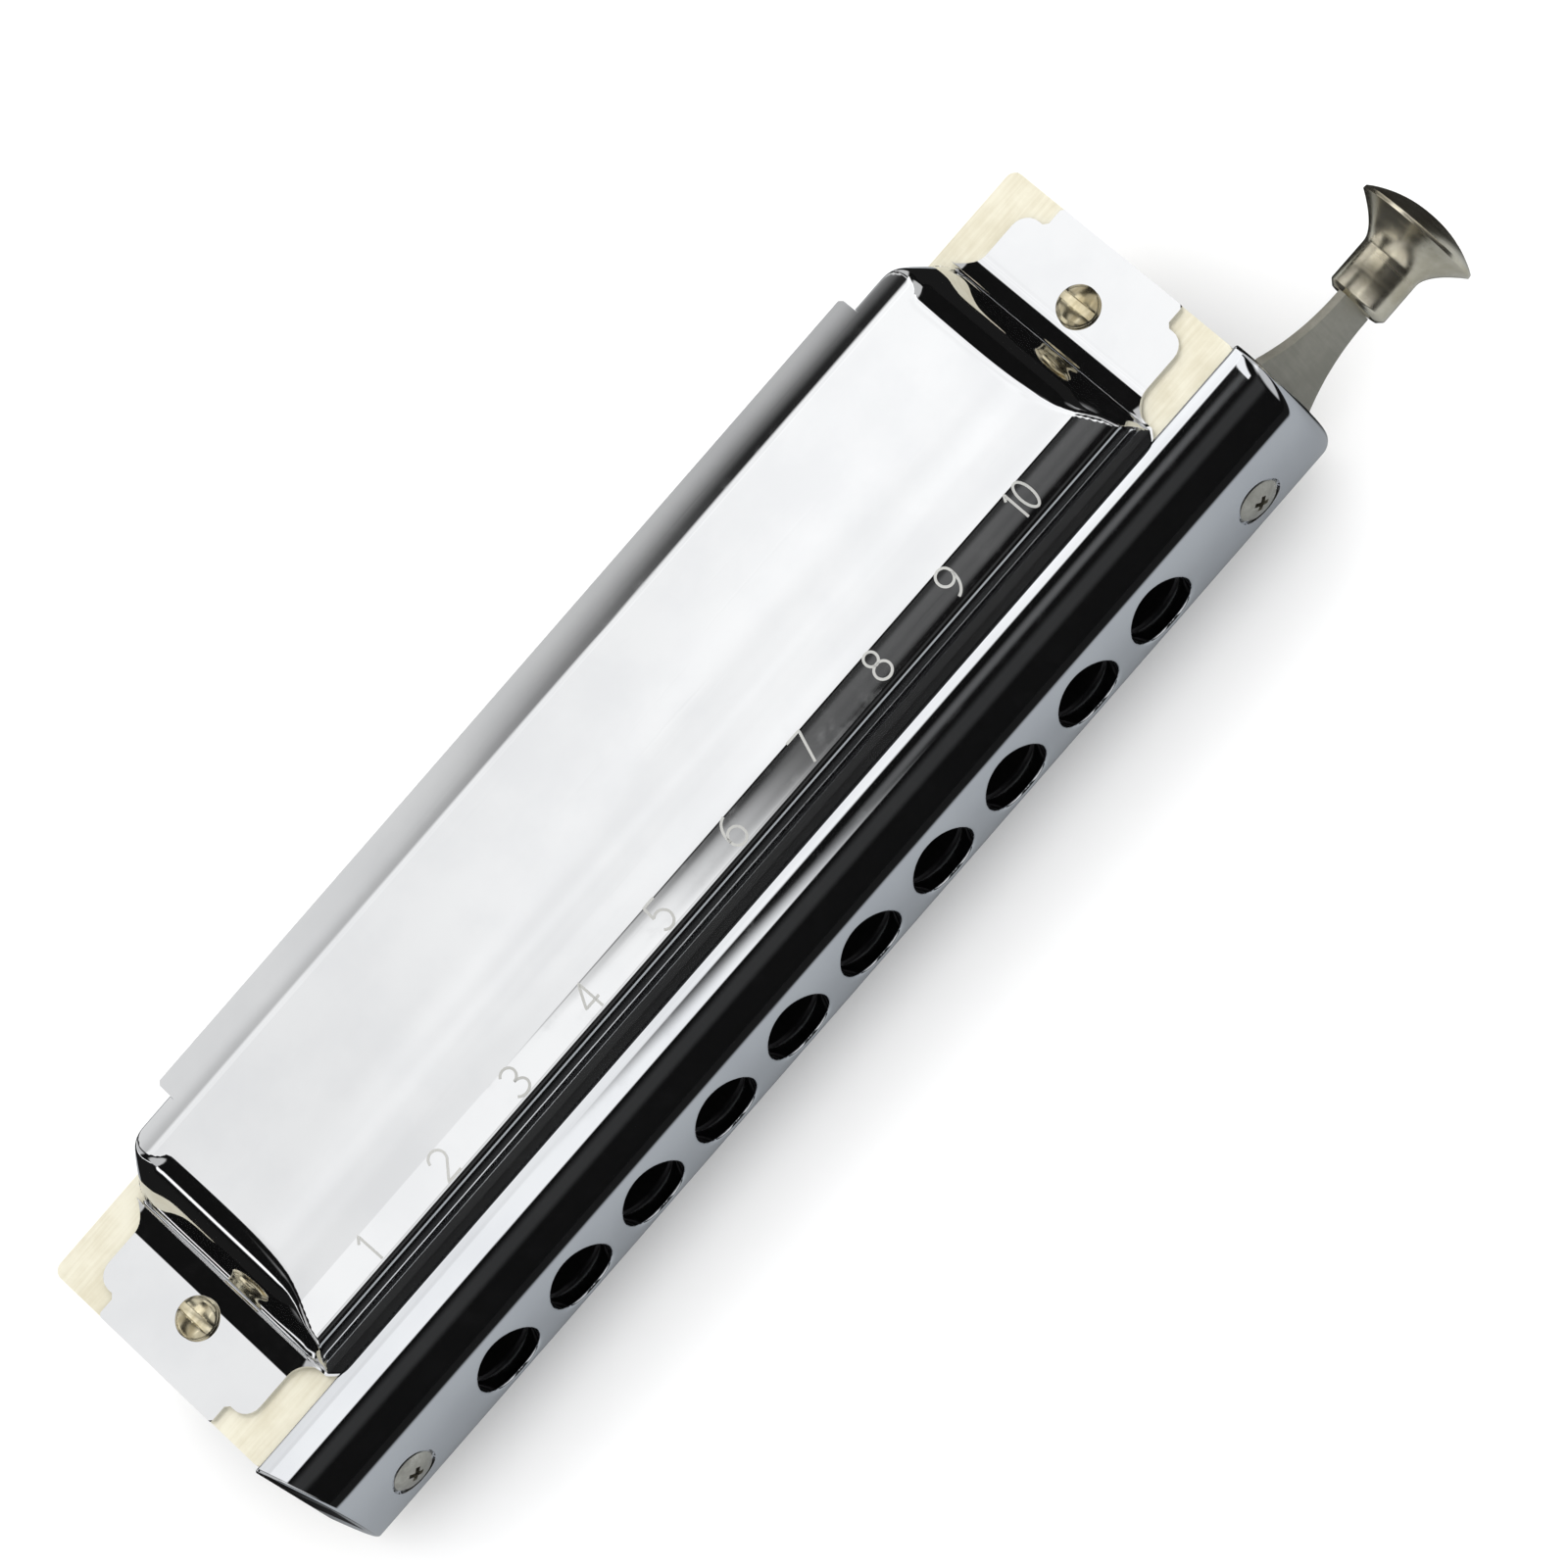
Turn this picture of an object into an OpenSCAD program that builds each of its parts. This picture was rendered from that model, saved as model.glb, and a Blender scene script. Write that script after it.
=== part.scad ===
// Ten-hole slide chromatic harmonica, as an assembly of its real pieces.
// +X points to the slide button and the highest hole, the holes face -Y, the numbered cover is on top (+Z).
// The origin is on the flat crown of the lower cover, under the middle of the hole row and the cover screws.

/* [Holes and cells] */
// Number of mouth holes
hole_count = 10; // [8:1:16]
// Distance between the centres of two holes
hole_pitch = 9.4; // [8.2:0.1:12]
// Diameter of a mouth hole
hole_d = 7.1; // [5:0.1:7.5]
// Width of one reed cell in the comb
cell_w = 3.5; // [3.3:0.05:3.7]
// Thickness of the web between the upper and lower cells
cell_web = 1.4; // [1:0.1:2.5]

/* [Body] */
// From the centre of the last hole to the end of the comb
end_margin = 20.7; // [20:0.1:30]
// Depth of the comb and the reed plates, front to back
body_d = 28; // [26:0.5:40]
// Height of the comb
comb_h = 13; // [13:0.5:18]
// Thickness of a reed plate
plate_t = 1; // [0.8:0.05:1.5]
// Corner radius of a reed plate
plate_corner_r = 1; // [0.5:0.1:3]

/* [Reeds and valves] */
// Free length of the lowest reed
reed_long = 16; // [10:0.5:16.5]
// Free length of the highest reed
reed_short = 8.5; // [7:0.5:10]
// Width of a reed tongue
reed_w = 2; // [1.5:0.1:2.4]
// Thickness of a reed
reed_t = 0.25; // [0.15:0.05:0.3]
// Gap between a reed tongue and its slot
reed_gap = 0.06; // [0.03:0.01:0.1]
// Length of the riveted pad of a reed
pad_l = 2.6; // [2.5:0.1:3]
// Width of the riveted pad of a reed
pad_w = 3.2; // [2.4:0.1:3.2]
// Clearance between a reed's pad and the front wall of a cover
pad_room = 0.3; // [0.2:0.05:0.6]
// Rivet diameter
rivet_d = 1; // [0.8:0.1:1.2]
// Rivet head diameter
rivet_head_d = 1.5; // [1.3:0.1:1.5]
// Rivet head height
rivet_head_h = 0.3; // [0.2:0.05:0.35]
// Thickness of a wind-saving valve
valve_t = 0.15; // [0.1:0.05:0.2]
// Width of a valve
valve_w = 2.9; // [2.6:0.1:3]
// Holes at the high end that have no valves
unvalved_holes = 2; // [0:1:4]
// Plate pin diameter
pin_d = 1; // [0.8:0.1:1.4]
// Plate pin head diameter
pin_head_d = 1.9; // [1.6:0.1:2.4]
// Plate pin length in the comb
pin_l = 4; // [3:0.5:5]
// Number of pins along the back of a plate
back_pins = 5; // [3:1:7]

/* [Covers] */
// Height of a cover's crown above its reed plate
cover_h = 6.5; // [6.5:0.1:9]
// Sheet thickness of a cover
sheet_t = 0.5; // [0.4:0.05:0.6]
// From the end of the comb to the foot of the cover's end wall
dome_end_inset = 9.9; // [9:0.1:12]
// How far the end wall leans in from its foot to the fold
dome_end_lean = 0.9; // [0.5:0.1:2]
// Radius of the fold between the end wall and the crown
dome_end_r = 4.5; // [2:0.1:5]
// Corner radius of the dome at its back
dome_back_r = 4.5; // [2:0.1:6]
// Corner radius of the dome at its front
dome_front_r = 1.5; // [1:0.1:4]
// Width of the front flange, ahead of the dome
front_flange_w = 1; // [0.8:0.1:2]
// How far the dome's back stands past the comb
dome_overhang = 0.3; // [0:0.1:1]
// How far the back lip stands past the dome's back
lip_out = 1.1; // [0.5:0.1:2]
// How much lower the lip's edge is than the crown
lip_drop = 1; // [0.5:0.1:1.1]
// From the foot of the dome's end wall to the end of the lip
lip_end_inset = 8.5; // [6:0.5:12]
// Depth of the end flange, front to back
flange_d = 20.3; // [16:0.1:26]
// Depth of the narrow tab at the outer end of the flange
tab_d = 15.1; // [10:0.1:18]
// Length of the narrow tab
tab_l = 2.2; // [1:0.1:3]
// Corner radius of the end flange
flange_r = 1.7; // [0.5:0.1:3]
// Radius of the cove between the end flange and the dome
cove_r = 1.4; // [0.8:0.1:2]

/* [Screws] */
// Cover bolt diameter
bolt_d = 2; // [1.6:0.1:2.5]
// From the end of the comb to a cover bolt
bolt_inset = 5.7; // [5:0.1:6.5]
// Diameter of a cover bolt's head and of its nut's head
bolt_head_d = 4; // [3.5:0.1:4.2]
// Height of a cover bolt's head
bolt_head_h = 1.1; // [0.8:0.1:1.5]
// Mouthpiece screw diameter
mp_screw_d = 2; // [1.6:0.1:2.4]
// From the end of the comb to a mouthpiece screw
mp_screw_inset = 8.2; // [7.8:0.1:9]
// Diameter of a mouthpiece screw's head
mp_head_d = 4.3; // [3.6:0.1:5]
// Length of a mouthpiece screw in the comb
mp_screw_grip = 5; // [4:0.5:6]
// Clearance round a screw in a hole that it passes through
screw_clear = 0.1; // [0.05:0.05:0.3]

/* [Mouthpiece] */
// How far the mouthpiece laps over each reed plate
mp_lap = 1; // [0.2:0.1:1.4]
// Depth of the mouthpiece, front to back
mp_d = 7.25; // [6:0.05:9]
// How square the nose's section is, from 2 for a plain ellipse
mp_squareness = 2.35; // [2:0.05:3]
// Width and depth of the round front corner at the button end
mp_corner = [1.7, 2.2]; // [1:0.1:6]
// Width and depth of the long round corner at the far end
mp_far_corner = [2.3, 6]; // [1:0.1:6]
// How far the mouthpiece stands past each end of the comb
mp_overhang = 0.4; // [0:0.1:1]
// Width of the mouthpiece's rim above and below its back pocket
mp_rim = 1.7; // [1.2:0.1:2]

/* [Slide] */
// Thickness of the slide
slide_t = 0.8; // [0.6:0.05:1]
// Height of the slide
slide_h = 12.5; // [11.6:0.1:12.6]
// Thickness of the channel plate behind the slide
channel_t = 1.2; // [0.8:0.1:1.4]
// Running clearance of the slide, behind it, in front of it, above it and below it
slide_clear = 0.05; // [0.03:0.01:0.1]
// Width of a slide window
window_w = 4.3; // [3:0.1:4.5]
// Height of a slide window
window_h = 4.6; // [3:0.1:4.8]
// Height of the bar between the upper and lower windows
window_bar = 1; // [0.8:0.1:1.6]
// Length of the neck between the mouthpiece and the button
neck_l = 9.5; // [7:0.1:14]
// Height of the neck at the button
neck_tip_h = 6.2; // [4.5:0.1:8]
// Outer radius of a bumper sleeve
bumper_r = 1.7; // [1.4:0.1:1.8]

/* [Button] */
// Diameter of the button's barrel
barrel_d = 5.95; // [5:0.05:8]
// Length of the button's barrel
barrel_l = 4.7; // [4:0.1:8]
// Diameter of the button's rim
button_d = 11.9; // [9:0.1:16]
// Length of the flare
flare_l = 3.7; // [2:0.1:6]
// Height of the domed end
button_dome_h = 1.7; // [0.8:0.1:3]
// Length of the tongue in the barrel
tongue_l = 3.5; // [2:0.1:4]
// Height of the tongue in the barrel
tongue_h = 4; // [3:0.1:4.5]

/* [Spring] */
// Diameter of the spring wire
wire_d = 0.6; // [0.4:0.05:0.8]
// Mean radius of the spring's coil
coil_r = 1.6; // [1.4:0.1:2]
// From the end of the comb to the middle of the coil
coil_inset = 11.5; // [11:0.1:12]
// From the front face of the comb to the middle of the coil
coil_depth = 7.5; // [6:0.1:8]
// Height of the coil above the middle of the comb
coil_z = 4.3; // [4:0.1:4.6]
// Length of the spring's resting leg
rest_leg_l = 4; // [3:0.1:5]

/* [Hidden] */
$fn = 48;
// Overshoot of a cutting shape past the face that it cuts
cut = 1;
row_half = (hole_count - 1) / 2 * hole_pitch;
body_half = row_half + end_margin;
front_y = -body_d / 2;
back_y = body_d / 2;
z_mid = comb_h / 2 + plate_t + cover_h;
// Reeds: the blow cell is on the low side of each hole's middle, the draw cell on the high side
cell_shift = hole_pitch / 4;
slot_y = front_y + front_flange_w + sheet_t + pad_room + pad_l;
slot_w = reed_w + 2 * reed_gap;
// From the end of a slot to the rivet, which leaves room there for the glued end of a valve
rivet_back = 1.75;
valve_glue_l = 0.9;
cell_spare = 0.4;
pin_head_h = 0.3;
pin_y = back_y - 2.4;
end_pin_x = row_half + 7.5;
end_pin_y = 2;
// Cover
dome_half = body_half - dome_end_inset;
dome_front_y = front_y + front_flange_w;
dome_back_y = back_y + dome_overhang;
lip_y = dome_back_y + lip_out;
lip_half = dome_half - lip_end_inset;
// Radius of the fold at the front of the crown, and where the crown's front and back folds stand
ridge_r = 2;
ridge_in = 4.3;
fold_in = 3;
fold_drop = 0.15;
crown_in = 4.5;
// The front wall bends at this share of the cover's height, this far behind its foot
bend_share = 0.55;
bend_in = 1;
foot_h = 0.6;
bolt_x = body_half - bolt_inset;
bolt_slot_w = 0.8;
bolt_hole_r = bolt_d / 2 + screw_clear;
flange_z = comb_h / 2 + plate_t + sheet_t;
// Slide and channel, from the comb's front face forward
travel = hole_pitch / 2;
slide_back_y = front_y - channel_t - slide_clear;
slide_y = slide_back_y - slide_t / 2;
pocket_y = slide_back_y - slide_t - slide_clear;
pocket_half = body_half - 1;
mp_h = comb_h + 2 * plate_t + 2 * mp_lap;
pocket_h = mp_h - 2 * mp_rim;
channel_half = pocket_half - 0.1;
channel_h = pocket_h - 0.1;
mp_front_y = front_y - mp_d;
mp_half = body_half + mp_overhang;
mp_screw_x = body_half - mp_screw_inset;
mp_hole_r = mp_screw_d / 2 + screw_clear;
mp_head_h = 1.3;
mp_head_proud = 0.35;
recess_l = 2.4;
recess_w = 0.55;
recess_h = 0.8;
slide_left_x = travel - pocket_half + 0.5;
neck_x = mp_half + 0.3;
neck_tip_x = mp_half + neck_l;
slot_stop_r = bumper_r + slide_clear;
window_z = (window_bar + window_h) / 2;
// Spring
coil_x = body_half - coil_inset;
coil_y = front_y + coil_depth;
leg_x = coil_x + coil_r;
// The close-wound turns are drawn as one ring, a hair larger than the wire of the legs
ring_wall = wire_d + 0.06;
ring_h = 2 * wire_d + 0.06;
leg_z = coil_z - wire_d / 2;
cavity_floor = 2.6;
spring_play = 0.3;
spring_wall = 1.4;
post_play = 0.2;
leg_room = wire_d / 2 + spring_play;
leg_hole_r = wire_d / 2 + 0.2;

function hole_x(i) = i * hole_pitch - row_half;
function reed_len(i) = reed_long - (reed_long - reed_short) * i / (hole_count - 1);
function slot_end(i) = slot_y + reed_len(i);
function unit(v) = v / norm(v);
function left_normal(a, b) = [a.y - b.y, b.x - a.x] / norm(b - a);
function corner_shift(m, n) = (m + n) / (1 + m * n);
// Moves each side of a counter-clockwise outline inwards by t
function inset(pts, t) = [for (i = [0:len(pts) - 1])
    pts[i] + t * corner_shift(left_normal(pts[(i + len(pts) - 1) % len(pts)], pts[i]),
        left_normal(pts[i], pts[(i + 1) % len(pts)]))];
// Points of an arc about c
function arc(c, r, a0, a1, n) = [for (i = [0:n]) c + r * [cos(a0 + (a1 - a0) * i / n),
    sin(a0 + (a1 - a0) * i / n)]];

// ---- Placing helpers ----

// Extrudes a (y, z) outline along X, centred
module along_x(l) {
    translate([-l / 2, 0, 0]) rotate([90, 0, 90]) linear_extrude(l) children();
}

// Extrudes an (x, z) outline along Y, from y0 to y1
module along_y(y0, y1) {
    translate([0, y1, 0]) rotate([90, 0, 0]) linear_extrude(y1 - y0) children();
}

// z = 0 is the reed plate's inner face, and z grows outwards, on both sides of the comb
module upper_side() {
    translate([0, 0, z_mid + comb_h / 2]) children();
}

module lower_side() {
    translate([0, 0, z_mid - comb_h / 2]) mirror([0, 0, 1]) children();
}

module both_sides() {
    upper_side() children([0:$children - 1]);
    lower_side() children([0:$children - 1]);
}

module box(lo, hi) {
    translate(lo) cube(hi - lo);
}

// A rectangle from lo to hi, with radius rf at its two low-y corners and rb at its two high-y corners
module rounded_rect(lo, hi, rf, rb) {
    translate([lo.x + rf, lo.y]) square([hi.x - lo.x - 2 * rf, hi.y - lo.y - rb]);
    translate([lo.x + rb, lo.y + rf]) square([hi.x - lo.x - 2 * rb, hi.y - lo.y - rf]);
    translate([lo.x, lo.y + rf]) square([hi.x - lo.x, hi.y - lo.y - rf - rb]);
    for (x = [lo.x + rf, hi.x - rf]) translate([x, lo.y + rf]) circle(rf);
    for (x = [lo.x + rb, hi.x - rb]) translate([x, hi.y - rb]) circle(rb);
}

// The shallow dome of a screw head, with a straight slot along Y
module slotted_dome(d, h, slot) {
    ball_r = (d * d / 4 + h * h) / (2 * h);
    difference() {
        intersection() {
            translate([0, 0, h - ball_r]) sphere(ball_r);
            cylinder(d = d, h = h);
        }
        if (slot > 0) box([-slot / 2, -d, h * 0.45], [slot / 2, d, h + cut]);
    }
}

// ---- Comb ----

// The cells of one side, open at the front and towards the reed plate
module side_cells() {
    for (i = [0:hole_count - 1], x = [-cell_shift, cell_shift])
        box([hole_x(i) + x - cell_w / 2, front_y - cut, (cell_web - comb_h) / 2],
            [hole_x(i) + x + cell_w / 2, slot_end(i) + pad_l + cell_spare, cut]);
}

// Hollow for the slide spring, with the post that its coil sits on, and the way out for its leg
module spring_hollow() {
    difference() {
        box([coil_x - coil_r - ring_wall - spring_play, front_y + spring_wall, cavity_floor],
            [coil_x + rest_leg_l + spring_play, coil_y + coil_r + ring_wall, comb_h / 2 + cut]);
        translate([coil_x, coil_y, 0]) cylinder(r = coil_r - ring_wall / 2 - post_play, h = comb_h / 2);
    }
    box([leg_x - travel - leg_room, front_y - cut, leg_z - leg_room],
        [leg_x + leg_room, front_y + 2 * spring_wall, comb_h / 2 + cut]);
}

module comb() color("#24262a") difference() {
    translate([0, 0, z_mid]) difference() {
        box([-body_half, front_y, -comb_h / 2], [body_half, back_y, comb_h / 2]);
        spring_hollow();
        for (s = [-1, 1]) {
            translate([s * bolt_x, 0, -comb_h / 2 - cut]) cylinder(r = bolt_hole_r, h = comb_h + 2 * cut);
            translate([s * mp_screw_x, front_y + mp_screw_grip, 0]) rotate([90, 0, 0])
                cylinder(d = mp_screw_d, h = mp_screw_grip + cut);
        }
    }
    both_sides() {
        side_cells();
        pin_places() translate([0, 0, -pin_l]) cylinder(d = pin_d, h = pin_l + cut);
    }
}

// ---- Reed plates and what they carry ----

module pin_places() {
    for (i = [0:back_pins - 1]) translate([row_half * (2 * i / (back_pins - 1) - 1), pin_y, 0]) children();
    for (s = [-1, 1]) translate([s * end_pin_x, end_pin_y, 0]) children();
}

// Rivets of the blow reeds stand behind their slots, those of the draw reeds in front
module blow_rivet_places() {
    for (i = [0:hole_count - 1]) translate([hole_x(i) - cell_shift, slot_end(i) + rivet_back, 0]) children();
}

module draw_rivet_places() {
    for (i = [0:hole_count - 1]) translate([hole_x(i) + cell_shift, slot_y - rivet_back, 0]) children();
}

module reed_plate() difference() {
    linear_extrude(plate_t) rounded_rect([-body_half, front_y], [body_half, back_y],
        plate_corner_r, plate_corner_r);
    for (i = [0:hole_count - 1], x = [-cell_shift, cell_shift])
        box([hole_x(i) + x - slot_w / 2, slot_y, -cut],
            [hole_x(i) + x + slot_w / 2, slot_end(i), plate_t + cut]);
    for (s = [-1, 1]) translate([s * bolt_x, 0, -cut])
        cylinder(r = bolt_hole_r, h = plate_t + 2 * cut);
    pin_places() translate([0, 0, -cut]) cylinder(d = pin_d, h = plate_t + 2 * cut);
    blow_rivet_places() translate([0, 0, -cut]) cylinder(d = rivet_d, h = plate_t + 2 * cut);
    draw_rivet_places() translate([0, 0, -cut]) cylinder(d = rivet_d, h = plate_t + 2 * cut);
}

// One reed with its pad's inner edge at y = 0 and its tongue along +Y, lying on z = 0
module reed(len) difference() {
    union() {
        box([-reed_w / 2, -0.5, 0], [reed_w / 2, len - reed_gap, reed_t]);
        box([-pad_w / 2, -pad_l, 0], [pad_w / 2, 0, reed_t]);
    }
    translate([0, -rivet_back, -cut]) cylinder(d = rivet_d, h = reed_t + 2 * cut);
}

module blow_reeds() color("#c9a45c")
    for (i = [0:hole_count - 1]) translate([hole_x(i) - cell_shift, slot_end(i), 0])
        rotate([180, 0, 0]) reed(reed_len(i));

module draw_reeds() color("#c9a45c")
    for (i = [0:hole_count - 1]) translate([hole_x(i) + cell_shift, slot_y, plate_t]) reed(reed_len(i));

// A rivet whose shank runs from z = low to z = high, with a head beyond each end
module rivet(low, high) {
    translate([0, 0, low]) cylinder(d = rivet_d, h = high - low);
    translate([0, 0, low - rivet_head_h]) cylinder(d = rivet_head_d, h = rivet_head_h);
    translate([0, 0, high]) cylinder(d = rivet_head_d, h = rivet_head_h);
}

module reed_rivets() color("#b98f45") {
    blow_rivet_places() rivet(-reed_t, plate_t);
    draw_rivet_places() rivet(0, plate_t + reed_t);
}

// A valve covers its slot on the face away from the reed, and is glued beside the rivet
module blow_valves() color("#e9e4d6")
    for (i = [0:hole_count - 1 - unvalved_holes])
        box([hole_x(i) - cell_shift - valve_w / 2, slot_y - reed_gap, plate_t],
            [hole_x(i) - cell_shift + valve_w / 2, slot_end(i) + valve_glue_l, plate_t + valve_t]);

module draw_valves() color("#e9e4d6")
    for (i = [0:hole_count - 1 - unvalved_holes])
        box([hole_x(i) + cell_shift - valve_w / 2, slot_y - valve_glue_l, -valve_t],
            [hole_x(i) + cell_shift + valve_w / 2, slot_end(i) + reed_gap, 0]);

module plate_pins() color("#b98f45") pin_places() {
    translate([0, 0, -pin_l]) cylinder(d = pin_d, h = pin_l + plate_t);
    translate([0, 0, plate_t]) cylinder(d = pin_head_d, h = pin_head_h);
}

module upper_reed_plate() color("#d9c48c") upper_side() reed_plate();
module lower_reed_plate() color("#d9c48c") lower_side() reed_plate();
module upper_blow_reeds() upper_side() blow_reeds();
module lower_blow_reeds() lower_side() blow_reeds();
module upper_draw_reeds() upper_side() draw_reeds();
module lower_draw_reeds() lower_side() draw_reeds();
module upper_reed_rivets() upper_side() reed_rivets();
module lower_reed_rivets() lower_side() reed_rivets();
module upper_blow_valves() upper_side() blow_valves();
module lower_blow_valves() lower_side() blow_valves();
module upper_draw_valves() upper_side() draw_valves();
module lower_draw_valves() lower_side() draw_valves();
module upper_plate_pins() upper_side() plate_pins();
module lower_plate_pins() lower_side() plate_pins();

// ---- Covers ----

// Side section of the dome in (y, height), counter-clockwise, from below the plate's face
function dome_section() = concat(
    [[dome_front_y, -2 * cut], [lip_y, -2 * cut], [lip_y, cover_h - lip_drop],
        [back_y - fold_in, cover_h - fold_drop], [back_y - crown_in, cover_h]],
    arc([dome_front_y + ridge_in, cover_h - ridge_r], ridge_r, 90, 140, 5),
    [[dome_front_y + bend_in, cover_h * bend_share], [dome_front_y, foot_h]]);

// End section of the dome in (x, height), counter-clockwise
function dome_ends() = concat(
    [[-dome_half, -2 * cut], [dome_half, -2 * cut], [dome_half, foot_h]],
    arc([dome_half - dome_end_lean - dome_end_r, cover_h - dome_end_r], dome_end_r, 12, 90, 6),
    arc([dome_end_lean + dome_end_r - dome_half, cover_h - dome_end_r], dome_end_r, 90, 168, 6),
    [[-dome_half, foot_h]]);

// The dome's solid form, or with t above 0 the room inside a sheet of thickness t
module dome_form(t) intersection() {
    along_x(2 * dome_half + 2 * cut) polygon(inset(dome_section(), t));
    along_y(front_y, lip_y + cut) polygon(inset(dome_ends(), t));
    translate([0, 0, -cut]) linear_extrude(cover_h + 2 * cut) {
        rounded_rect([t - dome_half, dome_front_y + t], [dome_half - t, dome_back_y - t],
            dome_front_r - t, dome_back_r - t);
        translate([t - lip_half, 0]) square([2 * (lip_half - t), lip_y - t]);
    }
}

module end_flange() {
    flange_x = body_half - tab_l;
    difference() {
        union() {
            linear_extrude(sheet_t) {
                intersection() {
                    rounded_rect([0, -flange_d / 2], [flange_x, flange_d / 2], flange_r, flange_r);
                    translate([dome_half - sheet_t, -flange_d]) square([dome_end_inset, 2 * flange_d]);
                }
                translate([dome_half - sheet_t, -tab_d / 2]) square([body_half - dome_half + sheet_t, tab_d]);
            }
            along_y(-flange_d / 2, flange_d / 2) difference() {
                translate([dome_half - sheet_t / 2, 0]) square([sheet_t / 2 + cove_r, sheet_t + cove_r]);
                translate([dome_half + cove_r, sheet_t + cove_r]) circle(cove_r);
            }
        }
        translate([bolt_x, 0, -cut]) cylinder(r = bolt_hole_r, h = sheet_t + 2 * cut);
    }
}

// z = 0 is the outer face of the reed plate
module cover() {
    difference() {
        dome_form(0);
        dome_form(sheet_t);
        box([-body_half, front_y - cut, -3 * cut], [body_half, lip_y + cut, 0]);
        box([sheet_t - lip_half, dome_back_y - 2 * sheet_t, -cut],
            [lip_half - sheet_t, lip_y + cut, cover_h - lip_drop - sheet_t]);
    }
    end_flange();
    mirror([1, 0, 0]) end_flange();
    box([-dome_half, front_y, 0], [dome_half, dome_front_y + sheet_t, sheet_t]);
}

module upper_cover() color("#dfe3e8") upper_side() translate([0, 0, plate_t]) cover();
module lower_cover() color("#dfe3e8") lower_side() translate([0, 0, plate_t]) cover();

// ---- Cover bolts and nuts ----

module cover_screw(s) color("#c8a95a") translate([s * bolt_x, 0, z_mid]) {
    translate([0, 0, flange_z]) slotted_dome(bolt_head_d, bolt_head_h, bolt_slot_w);
    translate([0, 0, -flange_z]) cylinder(d = bolt_d, h = 2 * flange_z);
}

module cover_nut(s) color("#c8a95a") translate([s * bolt_x, 0, z_mid - flange_z]) mirror([0, 0, 1])
    slotted_dome(bolt_head_d, bolt_head_h, bolt_slot_w);

module cover_screw_left() cover_screw(-1);
module cover_screw_right() cover_screw(1);
module cover_nut_left() cover_nut(-1);
module cover_nut_right() cover_nut(1);

// ---- Mouthpiece ----

// Section of the nose in (y, z): half of a squared-off ellipse
function nose_section() = [for (i = [0:28]) let (a = 90 + 180 * i / 28)
    [front_y + mp_d * sign(cos(a)) * pow(abs(cos(a)), 2 / mp_squareness),
        mp_h / 2 * sign(sin(a)) * pow(abs(sin(a)), 2 / mp_squareness)]];

// Plan of the nose in (x, y), counter-clockwise, with its two front corners as quarter ellipses
function nose_plan() = concat([[mp_half, front_y], [-mp_half, front_y]],
    [for (i = [0:8]) [mp_far_corner.x * (1 - cos(90 * i / 8)) - mp_half,
        mp_front_y + mp_far_corner.y * (1 - sin(90 * i / 8))]],
    [for (i = [8:-1:0]) [mp_half - mp_corner.x * (1 - cos(90 * i / 8)),
        mp_front_y + mp_corner.y * (1 - sin(90 * i / 8))]]);

module mouthpiece() color("#d7dbe2") translate([0, 0, z_mid]) difference() {
    intersection() {
        along_x(2 * mp_half) polygon(nose_section());
        translate([0, 0, -mp_h]) linear_extrude(2 * mp_h) polygon(nose_plan());
    }
    box([-pocket_half, pocket_y, -pocket_h / 2], [pocket_half, front_y + cut, pocket_h / 2]);
    // The slide leaves through the button end
    box([pocket_half - cut, pocket_y, -slide_h / 2 - slide_clear],
        [mp_half + cut, slide_back_y + slide_clear, slide_h / 2 + slide_clear]);
    for (i = [0:hole_count - 1]) translate([hole_x(i), front_y, 0]) rotate([90, 0, 0])
        cylinder(d = hole_d, h = mp_d + cut);
    for (s = [-1, 1]) translate([s * mp_screw_x, mp_front_y, 0]) rotate([-90, 0, 0]) {
        cylinder(r = mp_hole_r, h = mp_d + cut);
        cylinder(d1 = mp_head_d, d2 = mp_screw_d, h = mp_head_h);
    }
}

// A raised countersunk screw with a cross recess
module mouthpiece_screw(s) color("#b9bcc0") translate([s * mp_screw_x, mp_front_y, z_mid]) rotate([-90, 0, 0])
difference() {
    union() {
        cylinder(d = mp_screw_d, h = mp_d + mp_screw_grip);
        cylinder(d1 = mp_head_d, d2 = mp_screw_d, h = mp_head_h);
        mirror([0, 0, 1]) slotted_dome(mp_head_d, mp_head_proud, 0);
    }
    for (a = [45, 135]) rotate(a)
        box([-recess_l / 2, -recess_w / 2, -cut], [recess_l / 2, recess_w / 2, recess_h]);
}

module mouthpiece_screw_left() mouthpiece_screw(-1);
module mouthpiece_screw_right() mouthpiece_screw(1);

// ---- Slide and its channel ----

module window(x, z) {
    translate([x - window_w / 2, z - window_h / 2]) square([window_w, window_h]);
}

module slide_channel() color("#c2b280") translate([0, 0, z_mid]) {
    along_y(front_y - channel_t, front_y) difference() {
        translate([-channel_half, -channel_h / 2]) square([2 * channel_half, channel_h]);
        for (i = [0:hole_count - 1], s = [-1, 1]) window(hole_x(i), s * window_z);
        for (s = [-1, 1]) translate([s * mp_screw_x, 0]) circle(mp_hole_r);
        translate([leg_x - travel - leg_room, leg_z - leg_room])
            square([travel + 2 * leg_room, 2 * leg_room]);
    }
    for (s = [0, 1]) mirror([0, 0, s])
        box([-channel_half, pocket_y, slide_h / 2 + slide_clear],
            [channel_half, front_y - channel_t, channel_h / 2]);
}

// Half the neck's height, from its root at u = 0 to its tip at u = 1
function neck_half(u) = neck_tip_h / 2 + (slide_h - neck_tip_h) / 2 * pow(1 - u, 2.2);

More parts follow.
